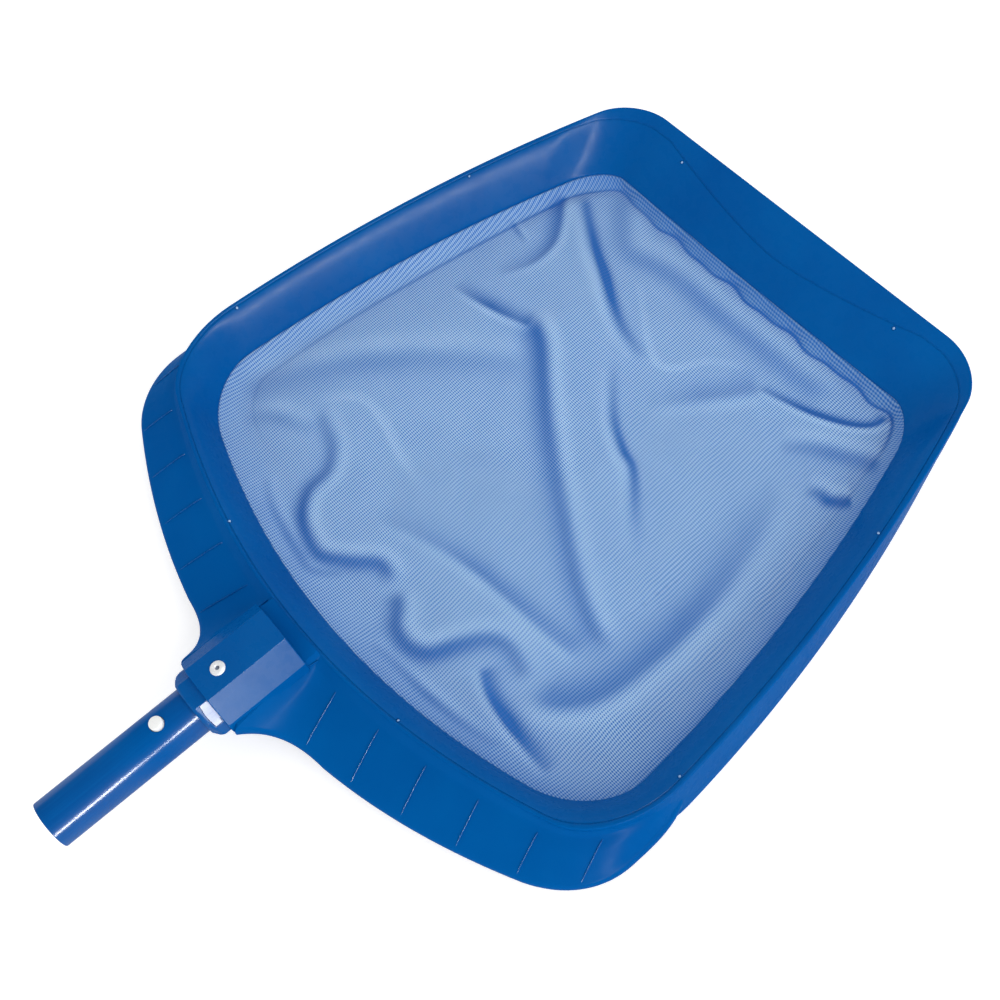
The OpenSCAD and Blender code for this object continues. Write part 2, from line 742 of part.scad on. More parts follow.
// A button: a round-edged cap, and a stud that is headed over under the strip
module button(side) {
  top = tube_r + button_out;
  edge = 1.1;
  stud_r = 1.6;
  color([0.95, 0.96, 0.96])
    translate([0, button_y, axis_z])
      mirror([0, 0, side < 0 ? 1 : 0])
        rotate_extrude()
          polygon(concat(
            [[0, strip_z - strip_t - 1], [2.4, strip_z - strip_t - 1], [2.4, strip_z - strip_t],
             [stud_r, strip_z - strip_t], [stud_r, strip_z], [button_r, strip_z]],
            [for (a = [0:15:90])
              [button_r - edge + edge * cos(a), top - 0.3 - edge + edge * sin(a)]],
            [[0, top]]
          ));
}
module button_top() {
  button(1);
}
module button_bottom() {
  button(-1);
}

frame();
net_ring();
net();
ring_pins();
handle_tube();
tube_sleeve();
rivet_body();
rivet_mandrel();
clip_bend();
clip_arm_top();
clip_arm_bottom();
button_top();
button_bottom();
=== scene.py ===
import math
from collections import namedtuple

import bmesh
import bpy
import numpy as np
from mathutils import Euler, Matrix, Vector
from mathutils.bvhtree import BVHTree


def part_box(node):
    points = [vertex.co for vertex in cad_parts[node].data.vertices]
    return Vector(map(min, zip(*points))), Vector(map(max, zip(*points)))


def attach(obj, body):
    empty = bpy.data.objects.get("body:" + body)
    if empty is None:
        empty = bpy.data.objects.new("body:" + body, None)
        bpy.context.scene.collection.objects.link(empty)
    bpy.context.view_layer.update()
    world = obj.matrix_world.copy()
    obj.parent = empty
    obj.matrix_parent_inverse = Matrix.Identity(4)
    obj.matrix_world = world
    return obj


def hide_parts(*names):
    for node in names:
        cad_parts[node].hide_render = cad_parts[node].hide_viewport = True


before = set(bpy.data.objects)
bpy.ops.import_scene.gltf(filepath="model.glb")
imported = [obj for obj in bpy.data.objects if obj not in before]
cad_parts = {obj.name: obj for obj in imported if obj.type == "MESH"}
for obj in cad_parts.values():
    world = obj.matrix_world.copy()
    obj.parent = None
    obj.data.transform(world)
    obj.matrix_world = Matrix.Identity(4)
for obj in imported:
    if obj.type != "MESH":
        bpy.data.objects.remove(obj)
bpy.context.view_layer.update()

# ---------------- sizes, in millimetres
# Lengths are worked out in millimetres and become metres when a mesh is made.
MM = 0.001


def low(node, k):
    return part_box(node)[0][k] / MM


def high(node, k):
    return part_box(node)[1][k] / MM


LIP_Y = high("frame", 1)
NOSE_Y = low("frame", 1)
TUBE_END_Y = low("handle_tube", 1)
TUBE_IN_Y = high("handle_tube", 1)
TUBE_R = (high("handle_tube", 0) - low("handle_tube", 0)) / 2
AXIS_Z = (high("handle_tube", 2) + low("handle_tube", 2)) / 2
SOCKET_TOP_Z = high("frame", 2) - AXIS_Z
RIVET_Y = (high("rivet_body", 1) + low("rivet_body", 1)) / 2
BUTTON_Y = (high("button_top", 1) + low("button_top", 1)) / 2
FLANGE_X = high("frame", 0)

# The rim, the height of the inner wall's foot, and the line where the clamp ring parts from the
# frame, as shares of the inner wall's width: on the rails, in the middle of the lip and at its ends
RIM_H = 34.5
NET_Z = 11
SCOOP_LEN = 333.5
SCOOP_W = 412
LIP_W = 287
REAR_BOW = 49.5
RAIL_BOW = 13.5
WALL = 2.5
REAR_Y = LIP_Y - SCOOP_LEN
PARTING_SIDE = 0.85
PARTING_LIP = 0.44
PARTING_END = 0.8
LIP_REACH = 0.725
RING_EDGE = 1.3
PIN_R = 1.2

# The tube, its sleeve, and the socket and collar that hold them
TUBE_T = 1.2
FIT_GAP = 0.05
SLEEVE_T = 0.8
SLEEVE_RO = TUBE_R + FIT_GAP + SLEEVE_T
SLEEVE_OUT = 5
SLEEVE_IN = 9
MOUTH_Y = -169.7
COLLAR_Y = MOUTH_Y - 4
SOCKET_LEN = 51.5
SOCKET_END_Y = MOUTH_Y + SOCKET_LEN
RIVET_HOLE_R = 2.5
BUTTON_HOLE_R = 4.4

# The last four say how far the rounded corners reach: along the lip, along the rail from the front
# and from the rear, and along the rear edge.
Outline = namedtuple("Outline", "front_x front_y front_bow rear_x rear_y rear_bow rail_bow "
                     "on_lip on_front_rail on_rear_rail on_rear")
RIM = Outline(LIP_W / 2, LIP_Y, 0, SCOOP_W / 2, REAR_Y, REAR_BOW, RAIL_BOW, 28, 26, 46, 32)
MESH_EDGE = Outline(131.2, 234, -2, 185, -55, 39, 11.5, 17, 28, 33, 39)
FOOT = Outline(147.5, 246, 0, 209, REAR_Y, 48.5, RAIL_BOW, 28, 38, 48, 40)
# Stations on half of an outline: along the lip, each corner, the rail and the rear edge
N_FRONT, N_CORNER, N_RAIL, N_REAR = 30, 14, 60, 40
CORNER_ROUND = 0.56


def lerp(a, b, t):
    return a + (b - a) * t


def bezier(a, b, c, d, t):
    """Shares t of a cubic curve, whose four controls are points or whole rings of points."""
    t = np.reshape(t, (-1,) + (1,) * np.ndim(a))
    return (1 - t) ** 3 * a + 3 * t * (1 - t) ** 2 * b + 3 * t * t * (1 - t) * c + t ** 3 * d


def meet(p, u, q, v):
    """Where the line through p along u meets the line through q along v."""
    return p + u * ((q[0] - p[0]) * v[1] - (q[1] - p[1]) * v[0]) / (u[0] * v[1] - u[1] * v[0])


def corner(p, u, q, v, n):
    m = meet(p, u, q, v)
    t = np.arange(1, n) / n
    return bezier(p, lerp(p, m, CORNER_ROUND), lerp(q, m, CORNER_ROUND), q, t)


def rail_line(o):
    """The straight line beside an outline's bowed rail: its start, way and length, and its outer side."""
    start = np.array([o.front_x, o.front_y], float)
    way = np.array([o.rear_x, o.rear_y], float) - start
    length = np.linalg.norm(way)
    return start, way, length, np.array([-way[1], way[0]]) / length


def on_rail(o, s):
    start, way, _, side = rail_line(o)
    s = np.asarray(s)[..., None]
    return start + way * s + side * o.rail_bow * 4 * s * (1 - s)


def half_outline(o):
    """Half of an outline, from the middle of the lip round to the middle of the rear edge."""
    _, way, length, side = rail_line(o)

    def front(t):
        return np.stack([t * o.front_x, o.front_y + o.front_bow * (1 - t * t)], -1)

    def rear(t):
        return np.stack([t * o.rear_x, o.rear_y - o.rear_bow * (1 - t * t)], -1)

    def rail_way(s):
        return way + side * o.rail_bow * 4 * (1 - 2 * s)

    t1, t2 = 1 - o.on_lip / o.front_x, 1 - o.on_rear / o.rear_x
    s1, s2 = o.on_front_rail / length, 1 - o.on_rear_rail / length
    front_way = np.array([o.front_x, -2 * o.front_bow * t1])
    rear_way = np.array([o.rear_x, 2 * o.rear_bow * t2])
    return np.concatenate([
        front(t1 * np.arange(N_FRONT + 1) / N_FRONT),
        corner(front(t1), front_way, on_rail(o, s1), rail_way(s1), N_CORNER),
        on_rail(o, lerp(s1, s2, np.arange(N_RAIL + 1) / N_RAIL)),
        corner(on_rail(o, s2), rail_way(s2), rear(t2), rear_way, N_CORNER),
        rear(t2 * (1 - np.arange(N_REAR + 1) / N_REAR)),
    ])


def whole(half):
    return np.concatenate([half, (half * [-1, 1])[-2:0:-1]])


def inset(o, d):
    return o._replace(front_x=o.front_x - d, front_y=o.front_y - d, rear_x=o.rear_x - d, rear_y=o.rear_y + d)


rim_path = whole(half_outline(RIM))
mesh_path = whole(half_outline(MESH_EDGE))
foot_path = whole(half_outline(FOOT))
foot_in_path = whole(half_outline(inset(FOOT, WALL)))
# The flange starts at this line, just inside the rim's outer edge
inner_path = whole(half_outline(inset(RIM, 1.2)))
wall_w = np.linalg.norm(rim_path - mesh_path, axis=1)
# 1 on the lip's straight blade, falling to 0 over the 40 mm behind it
blade = np.clip((rim_path[:, 1] - LIP_Y + 45) / 40, 0, 1)
lip_reach = LIP_REACH * LIP_W / 2
lip_share = np.clip(np.abs(rim_path[:, 0]) / lip_reach, 0, 1) ** 1.5
parting = np.where(
    (blade < 1) | (np.abs(rim_path[:, 0]) > lip_reach),
    lerp(PARTING_SIDE, PARTING_END, blade),
    lerp(PARTING_LIP, PARTING_END, lip_share),
)


def wall_z(f):
    """Height of the inner wall at share f of its width: straight on the lip, bulging on the rails."""
    round_z = np.sin(np.pi / 2 * np.minimum(1, f))
    return NET_Z + (RIM_H - NET_Z) * lerp(round_z, f, blade)


def at(f, z):
    """A ring of points at share f of the inner wall's width and height z."""
    f = np.broadcast_to(f, wall_w.shape)
    xy = lerp(mesh_path, rim_path, f[:, None])
    return np.column_stack([xy, np.broadcast_to(z, wall_w.shape)])


def on_wall(f, drop=0.0):
    return at(f, wall_z(f) - drop)


def under(f, shift, drop):
    return at(f, wall_z(f - shift) - drop)


def flat_ring(path, z):
    return np.column_stack([path, np.full(len(path), z)])


# ---------------- mesh making
def make_object(name, verts, faces):
    mesh = bpy.data.meshes.new(name)
    mesh.from_pydata([tuple(v) for v in np.asarray(verts, float) * MM], [], [tuple(f) for f in faces])
    mesh.update()
    obj = bpy.data.objects.new(name, mesh)
    bpy.context.scene.collection.objects.link(obj)
    return obj


def tidy_normals(obj):
    bm = bmesh.new()
    bm.from_mesh(obj.data)
    bmesh.ops.recalc_face_normals(bm, faces=bm.faces)
    bm.to_mesh(obj.data)
    bm.free()


def apply_modifiers(obj):
    evaluated = obj.evaluated_get(bpy.context.evaluated_depsgraph_get())
    mesh = bpy.data.meshes.new_from_object(evaluated)
    obj.modifiers.clear()
    old = obj.data
    name = old.name
    obj.data = mesh
    bpy.data.meshes.remove(old)
    mesh.name = name


def shade(obj, angle=32):
    """Smooth shading with sharp edges, where broad faces stay flat beside their rounded edges."""
    obj.data.shade_smooth()
    obj.data.set_sharp_from_angle(angle=math.radians(angle))
    weighted = obj.modifiers.new("normals", "WEIGHTED_NORMAL")
    weighted.keep_sharp = True
    apply_modifiers(obj)
    return obj


def ring_faces(m, n, close_rings=True, close_round=True):
    """Quads between m rings of n points each."""
    faces = []
    for j in range(m if close_rings else m - 1):
        for i in range(n if close_round else n - 1):
            a, b = j * n + i, j * n + (i + 1) % n
            c, d = ((j + 1) % m) * n + (i + 1) % n, ((j + 1) % m) * n + i
            faces.append((a, b, c, d))
    return faces


def face_values(mesh, key, size=1):
    """One property of every face of a mesh."""
    values = np.empty(len(mesh.polygons) * size)
    mesh.polygons.foreach_get(key, values)
    return values.reshape(-1, size)


def store(mesh, name, domain, values):
    mesh.attributes.new(name, "FLOAT", domain).data.foreach_set("value", values)


def end_faces(m, n):
    """The faces over both ends of m rings of n points each."""
    return [tuple(range(n - 1, -1, -1)), tuple((m - 1) * n + i for i in range(n))]


def band(name, rings):
    """A closed band through rings of points."""
    obj = make_object(name, np.concatenate(rings), ring_faces(len(rings), len(rings[0])))
    tidy_normals(obj)
    return obj


def loft(name, rings):
    """A solid through closed rings, with a face over each end."""
    m, n = len(rings), len(rings[0])
    faces = ring_faces(m, n, close_rings=False) + end_faces(m, n)
    obj = make_object(name, np.concatenate(rings), faces)
    tidy_normals(obj)
    return obj


def circle(r, n):
    a = np.arange(n) * 2 * np.pi / n
    return np.column_stack([r * np.cos(a), r * np.sin(a)])


def arc(rx, ry, first, last, step):
    """Offsets along an arc, from one angle in degrees to another."""
    angles = [math.radians(a) for a in range(first, last + 1, step)]
    return [(rx * math.cos(a), ry * math.sin(a)) for a in angles]


def across_tube(points, y):
    """Points drawn across the tube's axis, put at y."""
    return np.column_stack([points[:, 0], np.full(len(points), y), AXIS_Z + points[:, 1]])


def tube_loft(name, profile, n=96):
    """A solid of revolution about the tube's axis, from (radius, y) pairs."""
    return loft(name, [across_tube(circle(r, n), y) for r, y in profile])


def upright(name, x, y, profile, n=48, make=loft):
    """A solid of revolution about an upright axis, from (radius, z) pairs; a closed band has a bore."""
    return make(name, [flat_ring(circle(r, n) + [x, y], z) for r, z in profile])


def combine(base, others, operation):
    """Joins other solids to base, or cuts them out of it."""
    for other in others:
        modifier = base.modifiers.new(operation, "BOOLEAN")
        modifier.operation = operation
        modifier.solver = "MANIFOLD"
        modifier.object = other
    apply_modifiers(base)
    for other in others:
        data = other.data
        bpy.data.objects.remove(other)
        bpy.data.meshes.remove(data)


# ---------------- frame moulding
# The parting groove: half its width, its depth, and how round its edges are
GROOVE = 0.26
GROOVE_DEPTH = 0.38
GROOVE_ROUND = 0.55
# How round the crest is towards the outer wall
CREST_ROUND = 1.7
# How far the wall's surface is dropped and shifted for the frame's ledge and for the seat under the
# net; the ring's underside shares the ledge's shift
LEDGE_DROP = RING_EDGE + 0.25
LEDGE_SHIFT = 0.09
SEAT_DROP = 2.05
SEAT_SHIFT = 0.13


def rounded_edge(f, side):
    """Rings over the edge of the parting groove, on the frame's side (1) or the ring's side (-1)."""
    rings = []
    for a in (90, 60, 30, 0):
        out = side * GROOVE_ROUND * (1 - math.cos(math.radians(a))) / wall_w
        down = GROOVE_ROUND * (1 - math.sin(math.radians(a)))
        rings.append(on_wall(f + out, down))
    return rings


def rim_rings():
    """Rings round the frame's wall: up its outside, over the crest, down to the seat, and back underneath."""
    h = RIM_H
    foot, foot_in = flat_ring(foot_path, 0), flat_ring(foot_in_path, 0)
    top, top_in = flat_ring(rim_path, h - CREST_ROUND), flat_ring(rim_path, h - 6)
    rings = [flat_ring(lerp(foot_path, foot_in_path, 0.25), 0)]
    rings += [lerp(foot, top, t) for t in (0.02, 0.15, 0.3, 0.45, 0.6, 0.75, 0.9, 1)]
    inner = 1 - CREST_ROUND / wall_w
    rings += list(bezier(top, at(1, h - 0.45), at(1 - 0.5 / wall_w, h), on_wall(inner), np.arange(1, 9) / 8))
    edge = parting + GROOVE / wall_w
    rings += [on_wall(lerp(inner, edge + GROOVE_ROUND / wall_w, t)) for t in np.arange(1, 12) / 12]
    rings += rounded_edge(edge, 1)
    # The frame's ledge closes the groove under the gap
    lip = parting - (GROOVE - 0.06) / wall_w
    rings += [on_wall(edge, GROOVE_DEPTH), on_wall(lip, GROOVE_DEPTH)]
    rings += [under(f, LEDGE_SHIFT, LEDGE_DROP) for f in (lip, parting - 0.08)]
    rings += [under(lerp(parting - 0.1, 0.18, t), SEAT_SHIFT, SEAT_DROP) for t in np.arange(7) / 6]
    low_drop = SEAT_DROP + WALL
    rings.append(under(0.2, SEAT_SHIFT, low_drop + 1.2))
    rings += [under(lerp(0.24, 0.6, t), SEAT_SHIFT, low_drop + 0.5 - t * 0.5) for t in np.arange(5) / 4]
    rings += [at(0.78, h - 7.4), at(0.88, h - 6.6)]
    rings += [lerp(foot_in, top_in, share) for share in ([0.85, 0.85, 0.75], 0.3)]
    rings.append(flat_ring(lerp(foot_in_path, foot_path, 0.1), 0))
    return rings


# The flange stands behind the rim by its reach in the middle, and its edge bows more than the rim by
# its lag. It leaves the socket along a neck and turns forwards at both ends.
FLANGE_T = 2.2
FLANGE_Z = 12.5
FLANGE_REACH = 41
FLANGE_LAG = 15.2
FLANGE_RISE = (REAR_BOW + FLANGE_LAG) / FLANGE_X ** 2
NECK_X = 66
TURN_LEN = 30
SOCKET_X = 25.5
FLANGE_PEAK_Y = REAR_Y - REAR_BOW - FLANGE_REACH
# The flange's top stands this high above its lower edge, and a little higher beside the socket,
# where the whole flange climbs to the socket's side
EDGE_H = 6
EDGE_H_MORE = 1.2
CLIMB_Z = AXIS_Z - 1.5
CLIMB_LEN = 12
# The tails sink towards their ends, and meet the rails at this share of the rails' length
TAIL_X = 190
TAIL_LEN = 22
TAIL_SINK = 2.5
TAIL_AT = 0.85


def flange_y(x):
    return FLANGE_PEAK_Y + FLANGE_RISE * x * x


def beside_socket(x):
    """1 at the socket's side, fading to 0 away from it."""
    return math.exp(-max(0, abs(x) - SOCKET_X) / CLIMB_LEN)


def flange_edge_z(x):
    climb = (CLIMB_Z - FLANGE_Z) * beside_socket(x)
    return FLANGE_Z + climb - TAIL_SINK * max(0, (abs(x) - TAIL_X) / TAIL_LEN)


def flange_outline():
    """The flange's outer edge, from the middle behind the socket round to the right rail."""
    turn_x = FLANGE_X - TURN_LEN
    neck = np.array([
        [SOCKET_X + 1, MOUTH_Y + 0.1],
        [SOCKET_X + 5, flange_y(0) - 8],
        [SOCKET_X + 12, flange_y(NECK_X) - 2.8],
        [NECK_X, flange_y(NECK_X)],
    ])
    turn = np.array([
        [turn_x, flange_y(turn_x)],
        [FLANGE_X - 12, flange_y(turn_x) + 10.1],
        [FLANGE_X, flange_y(FLANGE_X) + 10.3],
        [FLANGE_X, flange_y(FLANGE_X) + 30.3],
    ])
    _, way, length, side = rail_line(RIM)
    end = on_rail(RIM, TAIL_AT) - side * 0.8
    tail = np.array([turn[3], turn[3] + [0, 18], end + way / length * 16 + side * 6.4, end])
    x = lerp(NECK_X, turn_x, np.arange(1, 41) / 40)
    return np.concatenate([
        [[0, MOUTH_Y + 8], [SOCKET_X - 9, MOUTH_Y + 6]],
        bezier(*neck, np.arange(25) / 24),
        np.column_stack([x, flange_y(x)]),
        bezier(*turn, np.arange(1, 19) / 18),
        bezier(*tail, np.arange(1, 13) / 12),
    ])


def first_hit(p, path, towards):
    """Where the way from p to a point first meets a closed path."""
    a, e = path, np.roll(path, -1, axis=0) - path
    u = towards - p
    k = u[0] * e[:, 1] - u[1] * e[:, 0]
    k = np.where(np.abs(k) < 1e-9, 1e-9, k)
    t = ((a[:, 0] - p[0]) * e[:, 1] - (a[:, 1] - p[1]) * e[:, 0]) / k
    s = ((a[:, 0] - p[0]) * u[1] - (a[:, 1] - p[1]) * u[0]) / k
    hits = t[(s >= 0) & (s <= 1) & (t >= 0) & (t <= 1)]
    return p + u * hits.min()


# The flange's top behind the rim: distance from the rim's inner line, and depth below the crest.
# A short steep part ends in a soft crease, and the skirt slopes gently from there.
SKIRT = ((0, 0.3), (1.2, 1.2), (3.2, 3.0), (5.4, 5.0), (6.6, 5.75), (10.2, 6.9), (15, 8.2))
# Where the flange is narrower than this, the skirt is drawn narrower too
SKIRT_REACH = 36
# Beside the rails the skirt starts lower, and behind the socket it falls less
SUNK, SUNK_X, SUNK_LEN = 1.5, 172, 24
CALM, CALM_X, CALM_LEN = 0.65, 24, 6


def flange_loop(p):
    """The flange's section from a point of its outer edge in to the rim."""
    q = first_hit(p, inner_path, np.array([0, LIP_Y - SCOOP_LEN / 2]))
    w = max(np.linalg.norm(p - q), 0.2)
    z = flange_edge_z(p[0])
    rise = EDGE_H + EDGE_H_MORE * beside_socket(p[0])
    far = max(0.6 * w, w - 3)
    sunk = SUNK * min(1, max(0, (abs(p[0]) - SUNK_X) / SUNK_LEN))
    fall = 1 - CALM * math.exp(-max(0, abs(q[0]) - CALM_X) / CALM_LEN)
    near = np.array(SKIRT) * [min(1, far / SKIRT_REACH), fall]
    near[:, 1] = RIM_H - near[:, 1] - sunk
    slope = lerp(near[-1], np.array([far, z + rise]), (np.arange(1, 8) / 7)[:, None])
    top = np.concatenate([near, slope])
    top[:, 1] = np.maximum(top[:, 1], z + rise)
    roll = bezier(np.array([far, z + rise]), np.array([lerp(far, w, 0.7), z + 0.85 * rise]),
                  np.array([w, z + 0.7 * rise]), np.array([w, z + 0.23 * rise]), np.arange(1, 7) / 6)
    low_edge = np.array([[w - 0.15, z + 0.3], [w - 0.7, z], [w - min(1.6, 0.4 * w), z + 0.3]])
    back = (top - [0, FLANGE_T])[::-1]
    back[:, 0] = np.minimum(back[:, 0], w - min(1.8, 0.45 * w))
    back[:, 1] = np.minimum(back[:, 1], RIM_H - 7)
    profile = np.concatenate([top, roll, low_edge, back])
    profile[:, 0] = np.clip(profile[:, 0], 0, w)
    xy = lerp(q, p, (profile[:, 0] / w)[:, None])
    return np.column_stack([xy, profile[:, 1]])


def flange():
    half = flange_outline()
    path = np.concatenate([(half * [-1, 1])[:0:-1], half])
    return loft("flange", [flange_loop(p) for p in path])


# The ribs stand in a fan from the first one's place on, and keep clear of the rim's line and of the
# flange's edge by their start and stop. The corner rib is given by x, how far ahead of the rim's line
# it starts, and its length; the stubs by two plan points, two heights and their root.
RIB_FAN = math.radians(17.4)
RIB_T = 0.75
RIB_H = 0.7
RIB_ROOT = 1.6
RIB_FIRST = 42.5
RIB_PITCH = 32.2
RIB_COUNT = 5
RIB_START = 5.7
RIB_STOP = 1.2
CORNER_RIB = (SCOOP_W / 2 - 10.5, 5.9, 22.5)
STUB = ((23.5, SOCKET_END_Y - 1), (24.3, SOCKET_END_Y + 6))
STUB_TOP = (35.2, 34.4)
STUB_LOW = 30.0


def blade_mesh(name, along, tops, bottoms):
    """A thin upright plate along a line of plan points, with rounded top edges."""
    way = along[-1] - along[0]
    side = np.array([-way[1], way[0]]) / np.linalg.norm(way) * RIB_T / 2
    rings = []
    for k, drop, wide in ((0, 0, 1), (1, 0.4, 1), (1, 0.15, 0.7), (1, 0, 0.2),
                          (1, 0, -0.2), (1, 0.15, -0.7), (1, 0.4, -1), (0, 0, -1)):
        rings.append(np.column_stack([along + side * wide, (tops if k else bottoms) - drop]))
    return loft(name, list(np.stack(rings, axis=1)))


def surface_under(obj):
    mesh = obj.data
    tree = BVHTree.FromPolygons([v.co[:] for v in mesh.vertices], [p.vertices[:] for p in mesh.polygons])

    def z_at(x, y):
        hit = tree.ray_cast(Vector((x * MM, y * MM, 1)), Vector((0, 0, -1)))
        return hit[0].z / MM if hit[0] is not None else None

    return z_at


def rim_rear_y(x):
    return REAR_Y - REAR_BOW * (1 - (x / (SCOOP_W / 2)) ** 2)


def rib_run(x, y0):
    """How far a rib that starts at x, y0 runs back until it nears the flange's edge."""
    run = 0
    for _ in range(6):
        run = y0 - flange_y(x + run * math.tan(RIB_FAN)) - RIB_STOP
    return run


def rib_lines():
    """Plan lines of the right half's ribs, from the rim back: a fan of them, and one at the corner."""
    places = []
    for x in RIB_FIRST + RIB_PITCH * np.arange(RIB_COUNT):
        y = rim_rear_y(x) - RIB_START
        places.append((x, y, rib_run(x, y)))
    x, ahead, run = CORNER_RIB
    places.append((x, rim_rear_y(x) + ahead, run))
    t = np.arange(25) / 24
    return [np.column_stack([x + run * t * math.tan(RIB_FAN), y - run * t]) for x, y, run in places]


def ribs(z_at):
    """Low fins along the rib lines of both halves, and a stub behind each socket edge."""
    made = []
    for along in rib_lines():
        ground = np.array([z_at(x, y) or FLANGE_Z for x, y in along])
        t = np.arange(len(along)) / (len(along) - 1)
        taper = np.minimum(1, np.minimum(t * 16, (1 - t) * 5))
        tops = ground - 0.2 + (RIB_H + 0.2) * taper
        for side in (-1, 1):
            made.append(blade_mesh("rib", along * [side, 1], tops, ground - RIB_ROOT))
    for side in (-1, 1):
        t = np.arange(5) / 4
        along = lerp(*(np.array(STUB) * [side, 1]), t[:, None])
        made.append(blade_mesh("stub", along, lerp(*STUB_TOP, t), np.full(len(t), STUB_LOW)))
    return made


def rounded_polygon(points, r, n=5):
    """A convex polygon with its corners rounded."""
    points = np.asarray(points, float)
    out = []
    for i, p in enumerate(points):
        a, b = points[i - 1] - p, points[(i + 1) % len(points)] - p
        a, b = a / np.linalg.norm(a), b / np.linalg.norm(b)
        half_angle = math.acos(np.clip(np.dot(a, b), -1, 1)) / 2
        cut = r / math.tan(half_angle)
        start, end = p + a * cut, p + b * cut
        t = (np.arange(n + 1) / n)[:, None]
        out.append((1 - t) ** 2 * start + 2 * t * (1 - t) * p + t ** 2 * end)
    return np.concatenate(out)


def shrink(points, d):
    """A convex outline moved inwards by d."""
    way = np.roll(points, -1, axis=0) - np.roll(points, 1, axis=0)
    normal = np.column_stack([way[:, 1], -way[:, 0]]) / np.linalg.norm(way, axis=1)[:, None]
    centre = points.mean(axis=0)
    normal *= np.sign(((points - centre) * normal).sum(axis=1))[:, None]
    return points - normal * d


def facets(top, side, wide):
    right = [top, side, (wide, 0), (side[0], -side[1]), (top[0], -top[1])]
    return right + [(-x, y) for x, y in reversed(right)]


# Corners of the socket's and the collar's sections, as x and height above the tube's axis
SOCKET_TOP = (11.2, SOCKET_TOP_Z)
SOCKET_SIDE = (23.7, 6.1)
COLLAR_TOP = (8.5, SLEEVE_RO + FIT_GAP + 1.3)
COLLAR_SIDE = (TUBE_R + 5.25, 5.5)
COLLAR_X = TUBE_R + 8.95
# How deep the key sinks into the sleeve, how far its front bulges, and the step at its far corner
KEY_SINK = 0.3
KEY_BULGE = 0.8
KEY_STEP = (2.6, 0.7)
POCKET_GAP = 0.12


def prism(name, outline, y0, y1, r):
    """A rounded prism along the tube, with rolled edges at both ends."""
    ends = [(y0, r), (y0 + 0.3 * r, 0.35 * r), (y0 + r, 0), (y1 - r, 0), (y1 - 0.3 * r, 0.35 * r), (y1, r)]
    return loft(name, [across_tube(shrink(outline, d), y) for y, d in ends])


def socket_solids():
    """The faceted socket, the collar in front of it, and the collar's cone-shaped nose."""
    body = rounded_polygon(facets(SOCKET_TOP, SOCKET_SIDE, SOCKET_X), 0.9)
    collar = rounded_polygon(facets(COLLAR_TOP, COLLAR_SIDE, COLLAR_X), 0.6)
    sides = zip(collar, np.roll(collar, -1, axis=0))
    dense = np.array([lerp(a, b, t) for a, b in sides for t in np.arange(4) / 4])
    reach = np.linalg.norm(dense, axis=1)
    rings = []
    for y in np.linspace(NOSE_Y, COLLAR_Y + 2, 9):
        cone = lerp(SLEEVE_RO + 1, COLLAR_X + 1.5, (y - NOSE_Y) / (COLLAR_Y + 1 - NOSE_Y))
        r = np.minimum(reach - 0.02, cone)
        rings.append(across_tube(dense * (r / reach)[:, None], y))
    return [
        prism("socket", body, MOUTH_Y, SOCKET_END_Y, 0.7),
        prism("collar", collar, COLLAR_Y, MOUTH_Y + 3, 0.45),
        loft("nose", rings),
    ]


# The pins' places: x on the lip, distances in from the lip and from the rear edge on the rails, x on
# the rear edge, and how far inside the groove they stand
PIN_LIP_X = 87.3
PIN_FRONT_IN = 112.9
PIN_REAR_IN = 50.8
PIN_REAR_X = 84
PIN_INSIDE = 0.055


def pin_places():
    """Where the eight staking pins stand, and the slope of the inner wall there."""
    rail = (N_FRONT + N_CORNER, N_FRONT + N_CORNER + N_RAIL)
    end = rail[1] + N_CORNER + N_REAR
    spots = [
        (PIN_LIP_X, 0, (0, N_FRONT)),
        (LIP_Y - PIN_FRONT_IN, 1, rail),
        (REAR_Y + PIN_REAR_IN, 1, rail),
        (PIN_REAR_X, 0, (end - N_REAR, end)),
    ]
    share = parting - PIN_INSIDE
    middle, inner, outer = on_wall(share), on_wall(share - PIN_INSIDE), on_wall(parting)
    places = []
    for value, axis, (first, last) in spots:
        i = first + int(np.argmin(np.abs(rim_path[first:last + 1, axis] - value)))
        way = outer[i] - inner[i]
        slope = way[:2] * way[2] / (way[:2] @ way[:2])
        for side in (-1, 1):
            places.append((middle[i] * [side, 1, 1], slope * [side, 1]))
    return places


def pin_holes():
    r = PIN_R + 0.06
    return [upright("pin_hole", p[0], p[1], [(r, p[2] - 8), (r, p[2] + 3)], 24) for p, _ in pin_places()]


def key_solid(name, gap):
    """The key of the sleeve, or with a gap the pocket that holds it."""
    a, b = np.array(COLLAR_TOP), np.array(COLLAR_SIDE)
    length = np.linalg.norm(b - a)
    u = (b - a) / length
    out = np.array([-u[1], u[0]])
    t0, t1 = 0.5 - gap, length - 0.4 + gap
    y0, y1 = MOUTH_Y - SLEEVE_OUT - gap, MOUTH_Y - 0.1 + gap
    # Its front edge bulges, and its far corner has a small step
    share = np.arange(13) / 12
    front = np.column_stack([lerp(t0, t1, share), y0 - KEY_BULGE * np.sin(np.pi * share)])
    step_t, step_y = t1 - KEY_STEP[0], y1 - KEY_STEP[1]
    step = np.array([(t1, step_y), (step_t, step_y), (step_t, y1), (t0, y1)])
    outline = np.concatenate([front, step])
    middle = np.array([(t0 + t1) / 2, (y0 + y1) / 2])
    sunk = a @ out - SLEEVE_RO + KEY_SINK + gap
    rings = []
    for away, size in ((gap, 0.95), (gap - 0.25, 1), (-sunk, 1)):
        flat = lerp(middle, outline, size if gap == 0 else 1)
        across = a + flat[:, :1] * u + out * away
        rings.append(np.column_stack([across[:, 0], flat[:, 1], AXIS_Z + across[:, 1]]))
    return loft(name, rings)


